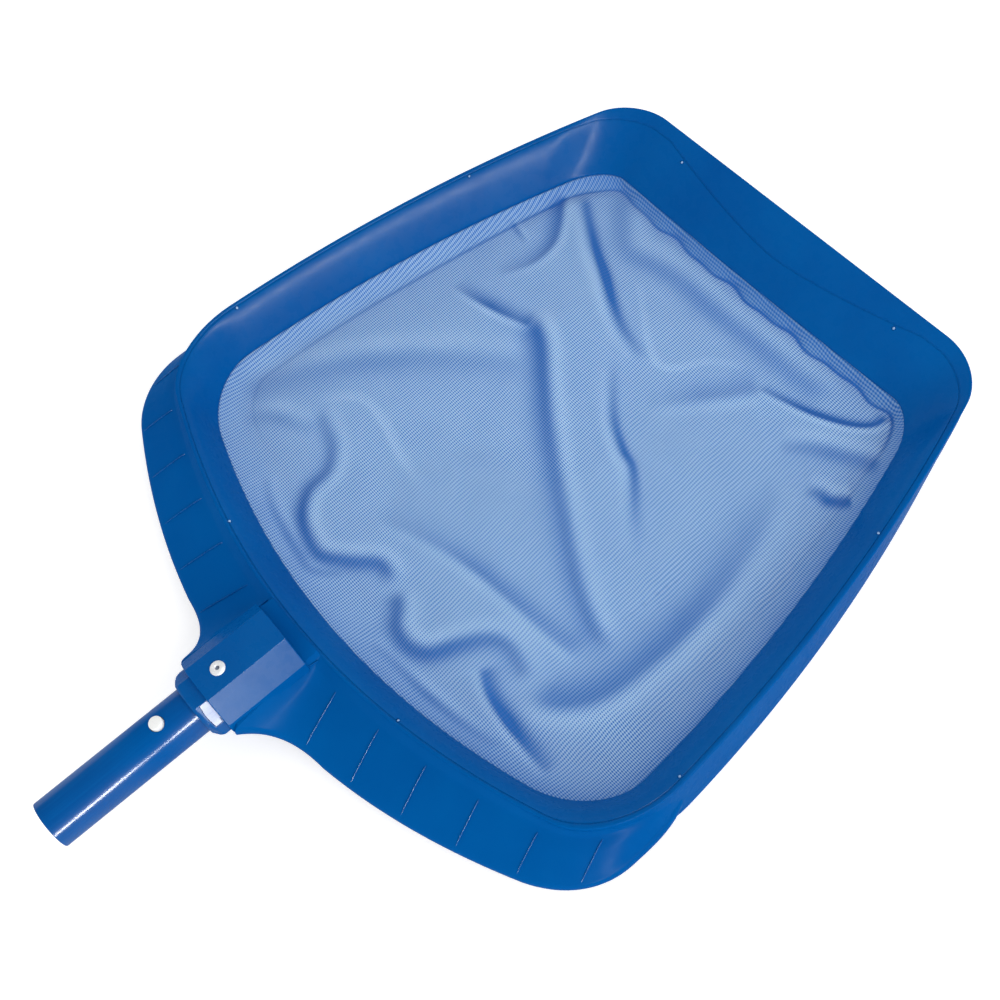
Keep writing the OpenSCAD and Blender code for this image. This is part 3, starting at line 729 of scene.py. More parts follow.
def frame_piece():
    body = band("frame_moulding", rim_rings())
    skirt = flange()
    fins = ribs(surface_under(skirt))
    combine(body, [skirt] + fins + socket_solids(), "UNION")
    bore, wide, rivet = TUBE_R + FIT_GAP, SLEEVE_RO + FIT_GAP, RIVET_HOLE_R
    cutters = [
        tube_loft("bore", [(bore, NOSE_Y - 5), (bore, SOCKET_END_Y - 1)]),
        tube_loft("wide_bore", [(wide, NOSE_Y - 5), (wide, MOUTH_Y + SLEEVE_IN + 0.2)]),
        key_solid("pocket", POCKET_GAP),
        upright("rivet_hole", 0, RIVET_Y, [(rivet, AXIS_Z), (rivet, AXIS_Z + SOCKET_TOP_Z + 3)]),
    ]
    combine(body, cutters + pin_holes(), "DIFFERENCE")
    shade(body)
    mark_polish(body)
    return body


def inside(points, path):
    """Which plan points lie inside a closed path."""
    a, b = path, np.roll(path, -1, axis=0)
    found = np.zeros(len(points), bool)
    for (ax, ay), (bx, by) in zip(a, b):
        if ay != by:
            crosses = (ay > points[:, 1]) != (by > points[:, 1])
            found ^= crosses & (points[:, 0] < ax + (points[:, 1] - ay) * (bx - ax) / (by - ay))
    return found


# How polished the socket's top and left faces and the ribs' crests are, where the rim's inside is 1;
# a rib's crest is known by its faces' small area, in square millimetres
SOCKET_POLISH = 2.2
SOCKET_LEFT_POLISH = 0.7
RIB_POLISH = 8
RIB_FACE = 0.8


def mark_polish(obj):
    """The rim's inside, the socket and the rib crests are polished, and the skirt is dull."""
    mesh = obj.data
    centres = face_values(mesh, "center", 3) / MM
    plan, z = centres[:, :2], centres[:, 2]
    polish = inside(plan, inner_path).astype(float)
    on_socket = (np.abs(plan[:, 0]) < SOCKET_SIDE[0] + 0.3) & (plan[:, 1] < SOCKET_END_Y + 0.3)
    polish[on_socket & (z > AXIS_Z)] = SOCKET_POLISH
    polish[on_socket & (face_values(mesh, "normal", 3)[:, 0] < -0.2)] = SOCKET_LEFT_POLISH
    slim = (face_values(mesh, "area")[:, 0] < RIB_FACE * MM * MM) & (z > FLANGE_Z)
    for line in rib_lines():
        for side in (-1, 1):
            gap = distance_to_line(plan, line * [side, 1])[0]
            polish[(gap < RIB_T * 0.55) & slim] = RIB_POLISH
    store(mesh, "polish", "FACE", polish)


def ring_piece():
    edge = parting - GROOVE / wall_w
    rings = rounded_edge(edge, -1)[::-1]
    rings += [on_wall(lerp(edge - GROOVE_ROUND / wall_w, 0.03, t)) for t in np.arange(1, 25) / 24]
    # The ring's inner edge is rolled
    for f, drop in ((0.012, 0.1), (0.003, 0.3), (0, 0.6), (0, 1.1), (0.006, 1.4), (0.02, 1.55), (0.045, 1.5)):
        rings.append(on_wall(f, drop))
    beneath = [lerp(LEDGE_SHIFT + 0.01, parting - 0.02, t) for t in np.arange(12) / 11] + [edge]
    rings += [under(f, LEDGE_SHIFT, RING_EDGE) for f in beneath]
    body = band("clamp_ring", rings)
    combine(body, pin_holes(), "DIFFERENCE")
    return shade(body)


def pins_piece():
    """Pins whose heads lie flush in the groove, each with a small stress-whitened tip."""
    profile = [(PIN_R, -7), (PIN_R, -0.3), (PIN_R - 0.12, -0.12), (0.66, -0.05), (0.58, 0.16), (0.3, 0.3)]
    tip_ring = 3
    m, n = len(profile), 24
    one_pin = ring_faces(m, n, close_rings=False) + end_faces(m, n)
    one_tips = [j // n >= tip_ring for j in range((m - 1) * n)] + [False, True]
    verts, faces, tips = [], [], []
    for p, slope in pin_places():
        faces += [tuple(len(verts) + v for v in face) for face in one_pin]
        tips += one_tips
        for k, (r, z) in enumerate(profile):
            for x, y in circle(r, n):
                lean = slope @ [x, y] if k > 0 else 0
                verts.append((p[0] + x, p[1] + y, p[2] + z + lean))
    obj = make_object("staking_pins", verts, faces)
    tidy_normals(obj)
    obj.data.materials.append(ring_blue)
    obj.data.materials.append(pin_plastic)
    for face, tip in zip(obj.data.polygons, tips):
        face.material_index = int(tip)
    return shade(obj, 50)


# ---------------- tube and what is on it
def tube_piece():
    r, ri = TUBE_R, TUBE_R - TUBE_T
    y0, y1 = TUBE_END_Y, TUBE_IN_Y
    profile = [
        (ri, y0 + 0.35), (ri + 0.1, y0 + 0.1), (ri + 0.35, y0),
        (r - 0.35, y0), (r - 0.1, y0 + 0.1), (r, y0 + 0.4),
        (r, lerp(y0, y1, 0.3)), (r, lerp(y0, y1, 0.65)),
        (r, y1 - 0.3), (r - 0.3, y1), (ri + 0.3, y1), (ri, y1 - 0.3), (ri, lerp(y0, y1, 0.5)),
    ]
    obj = band("handle_tube_skin", [across_tube(circle(radius, 160), y) for radius, y in profile])
    hole = BUTTON_HOLE_R
    cutters = [
        upright("button_hole", 0, BUTTON_Y, [(hole, AXIS_Z - 25), (hole, AXIS_Z + 25)], 64),
        upright("rivet_hole", 0, RIVET_Y, [(RIVET_HOLE_R, AXIS_Z), (RIVET_HOLE_R, AXIS_Z + 25)], 32),
    ]
    combine(obj, cutters, "DIFFERENCE")
    return shade(obj, 35)


def button_piece(name, side):
    """A snap button: a tail through the clip's arm, a cylinder with a rounded rim, a slightly domed top."""
    r = (high("button_top", 0) - low("button_top", 0)) / 2
    foot = high("clip_arm_top", 2) - AXIS_Z
    top = high("button_top", 2) - AXIS_Z
    edge = 1.2
    profile = [
        (1.6, foot - 1.6), (2.3, foot - 1.5), (2.4, foot - 1.2), (2.4, foot - 0.71), (1.6, foot - 0.7),
        (1.6, foot + 0.02), (r - 0.15, foot + 0.02), (r, foot + 0.2), (r, top - 0.3 - edge),
    ]
    profile += [(r - edge + x, top - 0.3 - edge + z) for x, z in arc(edge, edge, 10, 90, 10)]
    profile += [(r * 0.45, top - 0.12), (r * 0.2, top - 0.03), (0.05, top)]
    obj = upright(name, 0, BUTTON_Y, [(radius, AXIS_Z + side * z) for radius, z in profile])
    return shade(obj, 45)


def rivet_piece():
    """The blind rivet: domed head with a recess round the mandrel, shank, and bulb inside the tube."""
    top = high("frame", 2)
    r = (high("rivet_body", 0) - low("rivet_body", 0)) / 2
    head = high("rivet_body", 2) - top
    bulb = low("rivet_body", 2)
    mandrel, dome, shank, bulb_r = 1.25, 1.7, 2.4, 3.4
    profile = [
        (mandrel, bulb), (bulb_r - 0.2, bulb), (bulb_r, bulb + 0.4), (bulb_r, bulb + 0.9),
        (shank, bulb + 1.0), (shank, top), (r - 0.1, top), (r, top + 0.12), (r - 0.12, top + 0.4),
    ]
    profile += [(dome + x, top + 0.4 + z) for x, z in arc(r - 0.12 - dome, head - 0.4, 15, 90, 15)]
    profile += [(1.45, top + head - 0.1), (mandrel, top + head - 0.35)]
    return shade(upright("rivet", 0, RIVET_Y, profile, 64, band), 40)


def mandrel_piece():
    """The rivet's stem: a ball below the rivet's bulb, and a broken end in the head's recess."""
    top = high("frame", 2)
    r, ball = 1.2, 1.9
    middle = low("rivet_mandrel", 2) + ball
    profile = [(0.05, low("rivet_mandrel", 2))]
    profile += [(x, middle + z) for x, z in arc(ball, ball, -75, 45, 15)]
    profile += [(r, middle + ball - 0.2), (r, top + 0.25), (r - 0.15, top + 0.45)]
    profile += [(0.5, top + 0.3), (0.05, top + 0.28)]
    return shade(upright("rivet_stem", 0, RIVET_Y, profile), 40)


def sleeve_piece():
    """The split sleeve round the tube, with the key that shows in the collar's window."""
    ri = TUBE_R + FIT_GAP
    y0, y1 = MOUTH_Y - SLEEVE_OUT, MOUTH_Y + SLEEVE_IN
    body = tube_loft("sleeve", [(SLEEVE_RO, y0), (SLEEVE_RO, y1)])
    combine(body, [key_solid("key", 0)], "UNION")
    slit, deep = 1.0, AXIS_Z - 25
    slit_box = loft("slit", [
        np.array([(-slit, y, deep), (slit, y, deep), (slit, y, AXIS_Z), (-slit, y, AXIS_Z)])
        for y in (y0 - 5, y1 + 5)
    ])
    combine(body, [tube_loft("inside", [(ri, y0 - 1), (ri, y1 + 1)]), slit_box], "DIFFERENCE")
    return shade(body, 35)


# ---------------- net
NET_COLUMNS = 270
NET_ROWS = 240
# Heights of the net: where it lies lowest, at its edge, and the most that its folds rise to
FLOOR_Z = 1.1
NET_EDGE_Z = 8.8
NET_TOP_Z = 9.5
# The clamped margin, between the ring's underside and the frame's seat
MARGIN_SHIFT = 0.11
MARGIN_DROP = 1.65
# How far the high side of a fold reaches
FOLD_TAIL = 20
# How much painted highlight a fold's ridge gets, and the weave layer's units in a millimetre: it holds
# centimetres
RIDGE_HIGHLIGHT = 0.3
WEAVE_UNIT = 0.1

# Folds of the slack net, in plan millimetres. Each is how much painted shade its core gets (below 0, a
# painted highlight line instead), its width on the low side and on the high side, its height, its
# strength at the start, middle and end, and its way. The net stands higher on the left of the way.
FOLDS = [
    (0.8, 7, 2.5, 3.0, (0.5, 1, 0.1), [(-76, 121), (-92, 115), (-106, 111), (-123, 108), (-138, 106)]),
    (0.75, 10, 5, 4.5, (1.1, 0.7, 0.6), [(-88, 125), (-64, 117), (-41, 100), (-18, 83), (11, 64), (34, 50),
        (62, 33), (85, 21), (105, 14), (120, 16)]),
    (1.2, 4, 4, 4.5, (0.1, 1, 0.4), [(-6, 152), (-18, 155), (-35, 159), (-53, 167), (-71, 177), (-93, 188),
        (-118, 203), (-130, 212)]),
    (0.9, 3, 3.5, 3.5, (0, 1, 0), [(90, 62), (68, 76), (43, 97), (29, 102), (10, 112), (-9, 128),
        (-25, 143)]),
    (0.7, 8, 3, 3.0, (0.9, 0.8, 0.1), [(-142, 203), (-122, 182), (-114, 168), (-114, 151), (-124, 130)]),
    (0.4, 2, 2, 0.8, (0.2, 1, 0.2), [(-150, 164), (-128, 159)]),
    (0.5, 8, 7, 2.2, (0.5, 0.8, 0.6), [(-117, 230), (-93, 210), (-75, 200), (-50, 205), (-29, 207),
        (-6, 206), (19, 207), (40, 208), (60, 208), (92, 210)]),
    (1.1, 4, 2.2, 3.2, (0.7, 1, 0.2), [(118, 228), (117, 216), (107, 206), (88, 197), (69, 192), (50, 188)]),
    (0.35, 10, 5, 1.6, (0.8, 0.8, 0.1), [(54, 189), (44, 175), (28, 153), (12, 132)]),
    (0.45, 6, 5, 1.6, (0.4, 1, 0.8), [(89, 167), (104, 180), (120, 189), (139, 200)]),
    (0.8, 4, 4, 2.0, (0.2, 1, 0.8), [(119, 158), (127, 162), (134, 163), (143, 172)]),
    (0.6, 15, 6, 4.0, (0.1, 0.9, 0.9), [(96, 152), (107, 145), (115, 130), (123, 106), (131, 75), (135, 45),
        (135, 23), (133, -1), (127, -18), (116, -30), (100, -34)]),
    (0.5, 8, 3.5, 2.6, (0.7, 1, 0.1), [(110, 0), (86, -4), (54, -7), (22, -11), (-10, -19), (-42, -32)]),
    (0.75, 6, 4.5, 3.2, (0.3, 1, 0.8), [(-128, -13), (-112, -17), (-96, -23), (-85, -35), (-82, -51),
        (-71, -64), (-54, -71), (-41, -71), (-26, -60), (-13, -49), (4, -51)]),
    (0.7, 7, 5, 3.0, (0.8, 1, 0.4), [(4, -51), (15, -58), (24, -66), (37, -68), (49, -62), (57, -46),
        (66, -32), (78, -27), (101, -32)]),
    (1.0, 7, 2.5, 3.0, (0.2, 1, 0.6), [(148, -56), (125, -56), (107, -55), (90, -52), (74, -44)]),
    (0.3, 11, 8, 1.2, (0.5, 1, 0.5), [(-170, -45), (-157, -18), (-141, 11), (-123, 37), (-101, 61),
        (-77, 82), (-53, 99)]),
    (0.25, 5, 5, 0.8, (0.2, 1, 0.4), [(-152, -53), (-140, -38), (-124, -30), (-113, -24)]),
    (0.4, 3, 3, 0.8, (0.2, 1, 0.3), [(-111, -64), (-91, -73), (-74, -77), (-51, -81), (-37, -81),
        (-22, -67)]),
    (0.4, 3, 3, 0.8, (0.2, 1, 0.2), [(19, -83), (44, -80), (69, -78), (98, -73), (121, -66)]),
    (-0.25, 2, 2, 0.5, (0.2, 1, 0.2), [(-130, -12), (-112, 9), (-90, 10), (-63, 3), (-33, -1)]),
    (-0.2, 1.5, 1.5, 0.4, (0.4, 1, 0.4), [(-57, 190), (-2, 156), (21, 181), (41, 194)]),
]

# The side of the net that hangs from the ring: how wide it is and how dark the painted shade line at
# its foot is, at shares of the way round from the middle of the lip over the right rail
HANG_AT = (0, 0.1, 0.14, 0.3, 0.4, 0.5, 0.6, 0.67, 0.78, 0.86, 0.9, 1)
HANG_W = (5.5, 5.5, 10, 20, 24, 26, 24, 17, 12, 7, 5, 5.5)
FOOT_SHADE = (0.9, 0.9, 0.1, 0, 0, 0, 0, 0.2, 0.5, 0.6, 0.5, 0.9)
# Painted shade over the hanging side, and painted shade on the net beside the ring, at the same shares
HANG_SHADE = (0.9, 0.7, 0.2, 0, 0, 0, 0, 0.1, 0.2, 0.45, 0.8, 0.9)
EDGE_SHADE = (0.3, 0.2, 0.45, 0.55, 0.5, 0.3, 0.2, 0.2, 0.2, 0.2, 0.3, 0.3)


def along_line(points):
    """How far along a line each of its points is."""
    return np.concatenate([[0], np.cumsum(np.linalg.norm(np.diff(points, axis=0), axis=1))])


def spaced(points, n):
    """A line resampled to n + 1 evenly spaced points."""
    along = along_line(points)
    s = np.linspace(0, along[-1], n + 1)
    return np.column_stack([np.interp(s, along, points[:, k]) for k in range(points.shape[1])])


def even_places(first, last, n):
    """Even places along the net's edge between two stations, as n + 1 fractional stations."""
    stations = np.arange(first, last + 1)
    along = along_line(mesh_path[stations % len(mesh_path)])
    return np.interp(np.linspace(0, along[-1], n + 1), along, stations)


def take(ring, places):
    """Points of a closed ring at fractional stations."""
    n = len(ring)
    closed = np.concatenate([ring, ring[:1]])
    return np.column_stack([np.interp(places % n, np.arange(n + 1), column) for column in closed.T])


def net_edges():
    """Fractional stations along the net's front, right, rear and left edges, going round once."""
    front_end = N_FRONT + N_CORNER // 2
    rail_end = N_FRONT + N_CORNER + N_RAIL + N_CORNER // 2
    n = len(mesh_path)
    return (
        even_places(-front_end, front_end, NET_COLUMNS), even_places(front_end, rail_end, NET_ROWS),
        even_places(rail_end, n - rail_end, NET_COLUMNS), even_places(n - rail_end, n - front_end, NET_ROWS),
    )


def net_grid():
    """Plan points of the net on a grid that follows its four edges, rear to lip and left to right."""
    front, right, rear, left = (take(mesh_path, places) for places in net_edges())
    right, rear = right[::-1], rear[::-1]
    u = (np.arange(NET_COLUMNS + 1) / NET_COLUMNS)[None, :, None]
    v = (np.arange(NET_ROWS + 1) / NET_ROWS)[:, None, None]
    ruled = (1 - v) * rear[None] + v * front[None] + (1 - u) * left[:, None] + u * right[:, None]
    corners = (
        (1 - u) * (1 - v) * rear[0] + u * (1 - v) * rear[-1] + (1 - u) * v * front[0] + u * v * front[-1]
    )
    return ruled - corners


def distance_to_line(points, line):
    """The distance of each point to a line, its side (1 on the left), and how far along it is nearest."""
    best = np.full(points.shape[:-1], np.inf)
    share = np.zeros(points.shape[:-1])
    side = np.ones(points.shape[:-1])
    length = np.linalg.norm(np.diff(line, axis=0), axis=1)
    start = along_line(line)
    for i, (a, b) in enumerate(zip(line[:-1], line[1:])):
        d = b - a
        away = points - a
        t = np.clip((away @ d) / (d @ d), 0, 1)
        gap = np.linalg.norm(away - t[..., None] * d, axis=-1)
        nearer = gap < best
        best = np.where(nearer, gap, best)
        share = np.where(nearer, (start[i] + t * length[i]) / start[-1], share)
        side = np.where(nearer, np.sign(d[0] * away[..., 1] - d[1] * away[..., 0]), side)
    return best, side, share


def smooth_line(points, n=60):
    """A smooth line through given points."""
    points = np.asarray(points, float)
    if len(points) < 3:
        return spaced(points, 12)
    p = np.concatenate([[2 * points[0] - points[1]], points, [2 * points[-1] - points[-2]]])
    out = []
    for i in range(1, len(p) - 2):
        t = (np.arange(8) / 8)[:, None]
        out.append(0.5 * (2 * p[i] + (p[i + 1] - p[i - 1]) * t
                          + (2 * p[i - 1] - 5 * p[i] + 4 * p[i + 1] - p[i + 2]) * t ** 2
                          + (3 * p[i] - p[i - 1] - 3 * p[i + 1] + p[i + 2]) * t ** 3))
    out.append(points[-1:])
    return spaced(np.concatenate(out), n)


def smooth_step(t):
    t = np.clip(t, 0, 1)
    return t * t * (3 - 2 * t)


def fold_field(plan):
    """Height of the folds at each plan point, and their painted shade and painted highlight."""
    height = np.zeros(plan.shape[:2])
    dense = np.zeros(plan.shape[:2])
    for dark, low_w, high_w, rise, strength, way in FOLDS:
        gap, side, share = distance_to_line(plan, smooth_line(way))
        force = np.interp(share, (0, 0.5, 1), strength) * smooth_step(np.minimum(share, 1 - share) * 12)
        beyond = gap * side
        flank = smooth_step(0.5 + beyond / (2 * high_w)) * np.exp(-np.maximum(beyond, 0) / FOLD_TAIL)
        height += rise * force * flank
        # Painted shade on the fold's core, and a painted highlight on the ridge beside it on the high side
        core = np.exp(-(beyond / np.where(beyond < 0, low_w, high_w)) ** 2)
        ridge = np.exp(-((beyond - 1.7 * high_w) / high_w) ** 2)
        dense += force * (dark * core - RIDGE_HIGHLIGHT * abs(dark) ** 0.5 * ridge)
    return height, dense


def net_fields(plan):
    """Height of the net, its painted shade and highlight, and the painted shade of its hanging side, at each
    plan point.
    """
    x, y = plan[..., 0], plan[..., 1]
    to_edge, _, share = distance_to_line(plan, np.concatenate([mesh_path, mesh_path[:1]]))
    hang_w = np.interp(share, HANG_AT, HANG_W)
    # The foot of the hanging side wavers along the lip
    front = np.clip((y - 200) / 20, 0, 1)
    hang_w += front * (1.1 * np.sin(x / 7.5) + 0.8 * np.sin(x / 4.1 + 1))
    height, dense = fold_field(plan)
    swell = 0.5 * np.sin(x / 31 + y / 47) + 0.4 * np.sin(x / 23 - y / 37 + 1.5) + 0.9
    lie = FLOOR_Z + (swell + height) * smooth_step(to_edge / (hang_w + 8))
    lie = NET_TOP_Z - (NET_TOP_Z - FLOOR_Z) * np.exp(-(lie - FLOOR_Z) / (NET_TOP_Z - FLOOR_Z))
    t = np.clip(to_edge / hang_w, 0, 1)
    z = lerp(NET_EDGE_Z, lie, 1 - (1 - t) ** 1.6)
    # Painted shade: a dark line along the foot of the hanging side
    foot = np.interp(share, HANG_AT, FOOT_SHADE) * np.exp(-((to_edge - hang_w) / 1.1) ** 2)
    # Painted shade over the hanging side
    hanging = np.interp(share, HANG_AT, HANG_SHADE) * smooth_step(3 * (1.1 - to_edge / hang_w))
    # Painted shade on the net beside the ring
    shaded = np.interp(share, HANG_AT, EDGE_SHADE) * np.exp(-to_edge / 12)
    return z, dense * smooth_step(to_edge / 6) + foot + shaded, hanging


def net_margin():
    """The rings of points through which the net runs on under the clamp ring."""
    clamped = [under(f, MARGIN_SHIFT, MARGIN_DROP) for f in (0.2, 0.28, np.minimum(0.36, parting - 0.15))]
    return [at(0.05, 8.75), at(0.1, 8.9), at(0.15, lerp(8.9, clamped[0][:, 2], 0.5))] + clamped


def net_piece():
    plan = net_grid()
    z, dense, hanging = net_fields(plan)
    verts = np.dstack([plan, z]).reshape(-1, 3)
    rows, cols = NET_ROWS + 1, NET_COLUMNS + 1
    faces = ring_faces(rows, cols, False, False)
    index = np.arange(rows * cols).reshape(rows, cols)
    loop = np.concatenate([index[-1], index[-2::-1, -1], index[0, -2::-1], index[1:-1, 0]])
    places = np.concatenate([part[:-1] for part in net_edges()])
    m = len(loop)
    for ring in net_margin():
        base = len(verts)
        verts = np.concatenate([verts, take(ring, places)])
        for i in range(m):
            j = (i + 1) % m
            faces.append((loop[i], loop[j], base + j, base + i))
        loop = np.arange(base, base + m)
    obj = make_object("net_cloth", verts, faces)
    layer = obj.data.uv_layers.new(name="weave")
    spots = np.array([corner_of.vertex_index for corner_of in obj.data.loops])
    layer.data.foreach_set("uv", (verts[spots, :2] * WEAVE_UNIT).ravel())
    # The folds' painted shade and highlight, and the hanging side's painted shade, for the weave's colour
    for name, field in (("fold", np.clip(dense, -0.3, 1.2)), ("hanging", hanging)):
        values = np.ones(len(verts))
        values[:field.size] = field.ravel()
        store(obj.data, name, "POINT", values)
    tidy_normals(obj)
    obj.data.shade_smooth()
    return obj


# ---------------- materials
def srgb(r, g, b):
    """A colour given as 0 to 255, as the linear values that shaders use."""
    out = []
    for v in (r, g, b):
        v /= 255
        out.append(v / 12.92 if v <= 0.04045 else ((v + 0.055) / 1.055) ** 2.4)
    return (*out, 1)


class Nodes:
    """Short calls for building the nodes of a material or of the world."""

    def __init__(self, owner, output="ShaderNodeOutputMaterial"):
        owner.use_nodes = True
        self.owner = owner
        self.tree = owner.node_tree
        self.tree.nodes.clear()
        self.output = self.add(output)

    def put(self, socket, value):
        if isinstance(value, bpy.types.NodeSocket):
            self.tree.links.new(value, socket)
        else:
            socket.default_value = value

    def add(self, kind, inputs=None, **settings):
        node = self.tree.nodes.new(kind)
        for key, value in settings.items():
            setattr(node, key, value)
        for key, value in (inputs or {}).items():
            self.put(node.inputs[key], value)
        return node

    def math(self, operation, a, b=0.0):
        return self.add("ShaderNodeMath", {0: a, 1: b}, operation=operation).outputs[0]

    def times(self, a, b):
        return self.math("MULTIPLY", a, b)

    def plus(self, a, b):
        return self.math("ADD", a, b)

    def place(self):
        return self.add("ShaderNodeTexCoord").outputs["Object"]

    def mapped(self, vector, key, value):
        return self.add("ShaderNodeMapping", {"Vector": vector, key: value}).outputs[0]

    def attribute(self, name):
        return self.add("ShaderNodeAttribute", attribute_name=name).outputs["Fac"]

    def noise(self, vector, scale, detail=2.0, roughness=0.5):
        inputs = {"Vector": vector, "Scale": scale, "Detail": detail, "Roughness": roughness}
        return self.add("ShaderNodeTexNoise", inputs).outputs["Fac"]

    def axis(self, vector, k):
        return self.add("ShaderNodeSeparateXYZ", {0: vector}).outputs[k]

    def ramp(self, value, low_in, high_in, low_out, high_out, clamp=True):
        inputs = {"Value": value, "From Min": low_in, "From Max": high_in,
                  "To Min": low_out, "To Max": high_out}
        return self.add("ShaderNodeMapRange", inputs, clamp=clamp).outputs["Result"]

    def grazing(self, start, end, left):
        """1 on faces seen squarely, falling to what is left of it on grazing ones."""
        facing = self.add("ShaderNodeLayerWeight", {"Blend": 0.5}).outputs["Facing"]
        return self.ramp(facing, start, end, 1, left)

    def mix(self, fac, a, b):
        node = self.add("ShaderNodeMix", data_type="RGBA")
        for k, value in ((0, fac), (6, a), (7, b)):
            self.put(node.inputs[k], value)
        return node.outputs[2]

    def surface(self, colour, gloss, height, strength, depth, more):
        """A surface with a fine bump, finished as this material."""
        bump = self.add("ShaderNodeBump", {"Height": height, "Strength": strength, "Distance": depth})
        inputs = {"Base Color": colour, "Roughness": gloss, "Normal": bump.outputs["Normal"], **more}
        return self.finish(self.add("ShaderNodeBsdfPrincipled", inputs).outputs[0])

    def finish(self, shader):
        self.put(self.output.inputs["Surface"], shader)
        return self.owner


def material_nodes(name):
    return Nodes(bpy.data.materials.new(name))


def plastic(name, dark, light, rough=0.28, shine=0.058, dull=None):
    """Moulded plastic: a faint tone drift, flow marks that break up the gloss, and a slight orange peel."""
    n = material_nodes(name)
    place = n.place()
    colour = n.mix(n.ramp(n.noise(place, 18, 3), 0.3, 0.7, 0, 1), dark, light)
    gloss = n.ramp(n.noise(place, 160, 4), 0.3, 0.7, rough - 0.05, rough + 0.05)
    fine, peel, flow = n.noise(place, 2600), n.noise(place, 240), n.noise(place, 38, 3, 0.6)
    height = n.plus(n.plus(n.times(fine, 0.3), peel), n.times(flow, 6.0))
    level = shine if dull is None else n.ramp(n.attribute("polish"), 0, 1, dull, shine, clamp=False)
    # Grazing faces are duller, as fine mould texture makes them
    level = n.times(level, n.grazing(0.45, 0.8, 0.2))
    return n.surface(colour, gloss, height, 0.3, 0.00004, {"IOR": 1.46, "Specular IOR Level": level})


# Where along the tube its coat is worn
COAT_WORN_Y = -206


def anodised(name, dark, light):
    """Anodised tube: fine draw lines along its length under a clear gloss."""
    n = material_nodes(name)
    place = n.place()
    lines = n.noise(n.mapped(place, "Scale", (1, 0.02, 1)), 900, 3)
    colour = n.mix(n.ramp(n.plus(lines, n.noise(place, 30)), 0.7, 1.3, 0, 1), dark, light)
    gloss = n.ramp(lines, 0.3, 0.7, 0.1, 0.16)
    # The coat is worn in the middle of its length and thinner at grazing faces
    spot = n.math("ABSOLUTE", n.math("SUBTRACT", n.axis(place, 1), COAT_WORN_Y * MM))
    coat = n.times(n.ramp(spot, 0.004, 0.026, 0.12, 1), n.grazing(0.4, 0.75, 0.15))
    return n.surface(colour, gloss, lines, 0.04, 0.00002, {
        "IOR": 1.5, "Specular IOR Level": 0.05, "Coat Weight": coat, "Coat Roughness": 0.17, "Coat IOR": 1.29,
    })


def metal(name, dark, light, rough, scale=400, stretch=(1, 1, 1), metallic=1.0):
    """Bare metal with fine brushed or drawn marks; a dull oxide takes the part that isn't metallic."""
    n = material_nodes(name)
    place = n.place()
    marks = n.noise(n.mapped(place, "Scale", stretch), scale, 4, 0.6)
    blotch = n.noise(place, scale * 0.12)
    colour = n.mix(n.ramp(n.plus(marks, blotch), 0.7, 1.3, 0, 1), dark, light)
    gloss = n.ramp(marks, 0.3, 0.7, rough - 0.06, rough + 0.08)
    return n.surface(colour, gloss, marks, 0.3, 0.00004, {"Metallic": metallic})


# The weave in cycles a millimetre along x and y, and how strongly each set of threads shows
WARP_WAY = (0.505, 0.030)
WEFT_WAY = (0.020, 0.803)
WARP_SHOWS = 0.46
WEFT_SHOWS = 0.6
HOLE_CLEAR = 0.35


def woven(name):
    """Woven mesh: threads both ways, pale where the light comes through between them, with painted shade and
    highlights.
    """
    n = material_nodes(name)
    uv = n.add("ShaderNodeUVMap", uv_map="weave").outputs[0]
    place = n.place()

    def between(way, waver_at):
        """From -1 on a thread to 1 midway between two, with the slack cloth's wavering."""
        way = (way[0] / WEAVE_UNIT, way[1] / WEAVE_UNIT, 0)
        count = n.add("ShaderNodeVectorMath", {0: uv, 1: way}, operation="DOT_PRODUCT").outputs["Value"]
        count = n.plus(count, n.ramp(n.noise(waver_at, 24), 0, 1, -1.1, 1.1))
        return n.math("COSINE", n.times(count, 2 * math.pi))

    warp, weft = between(WARP_WAY, place), between(WEFT_WAY, n.mapped(place, "Location", (3, 1, 2)))
    pale = n.plus(n.times(warp, WARP_SHOWS), n.times(weft, WEFT_SHOWS))
    pale = n.plus(pale, n.ramp(n.noise(place, 40, 3), 0.3, 0.7, 0.46, 0.54))
    fold, side = n.attribute("fold"), n.attribute("hanging")
    dense = n.ramp(fold, 0, 0.85, 0, 1)
    # Painted shade: folds and the hanging side darken the weave and close its holes; painted highlight:
    # ridges make it paler
    closed = n.math("MAXIMUM", n.times(dense, 0.8), n.times(side, 0.6))
    pale = n.times(pale, n.math("SUBTRACT", 1.0, n.times(closed, 0.5)))
    pale = n.plus(pale, n.ramp(fold, -0.3, 0, 0.3, 0))
    colour = n.mix(pale, srgb(16, 104, 192), srgb(186, 224, 255))
    # Painted shade over the hanging side
    colour = n.mix(n.times(side, 0.7), colour, srgb(66, 124, 188))
    # Painted shade in the folds' cores
    colour = n.mix(n.times(dense, 0.9), colour, srgb(14, 96, 182))
    # Holes are partly clear where both sets of threads part
    hole = n.times(n.ramp(warp, -1, 1, 0, 1), n.ramp(weft, -1, 1, 0, 1))
    clear = n.times(n.times(n.times(hole, hole), HOLE_CLEAR), n.math("SUBTRACT", 1.0, closed))
    return n.surface(colour, 0.6, pale, 0.4, -0.0001, {
        "Specular IOR Level": 0.1, "Alpha": n.math("SUBTRACT", 1.0, clear), "Sheen Weight": 0.05,
    })


# ---------------- pieces
def put(obj, body, slot, material, *nodes):
    if not any(obj.data.materials):
        obj.data.materials.clear()
        obj.data.materials.append(material)
    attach(obj, body)
    if nodes:
        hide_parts(*nodes)
    return obj


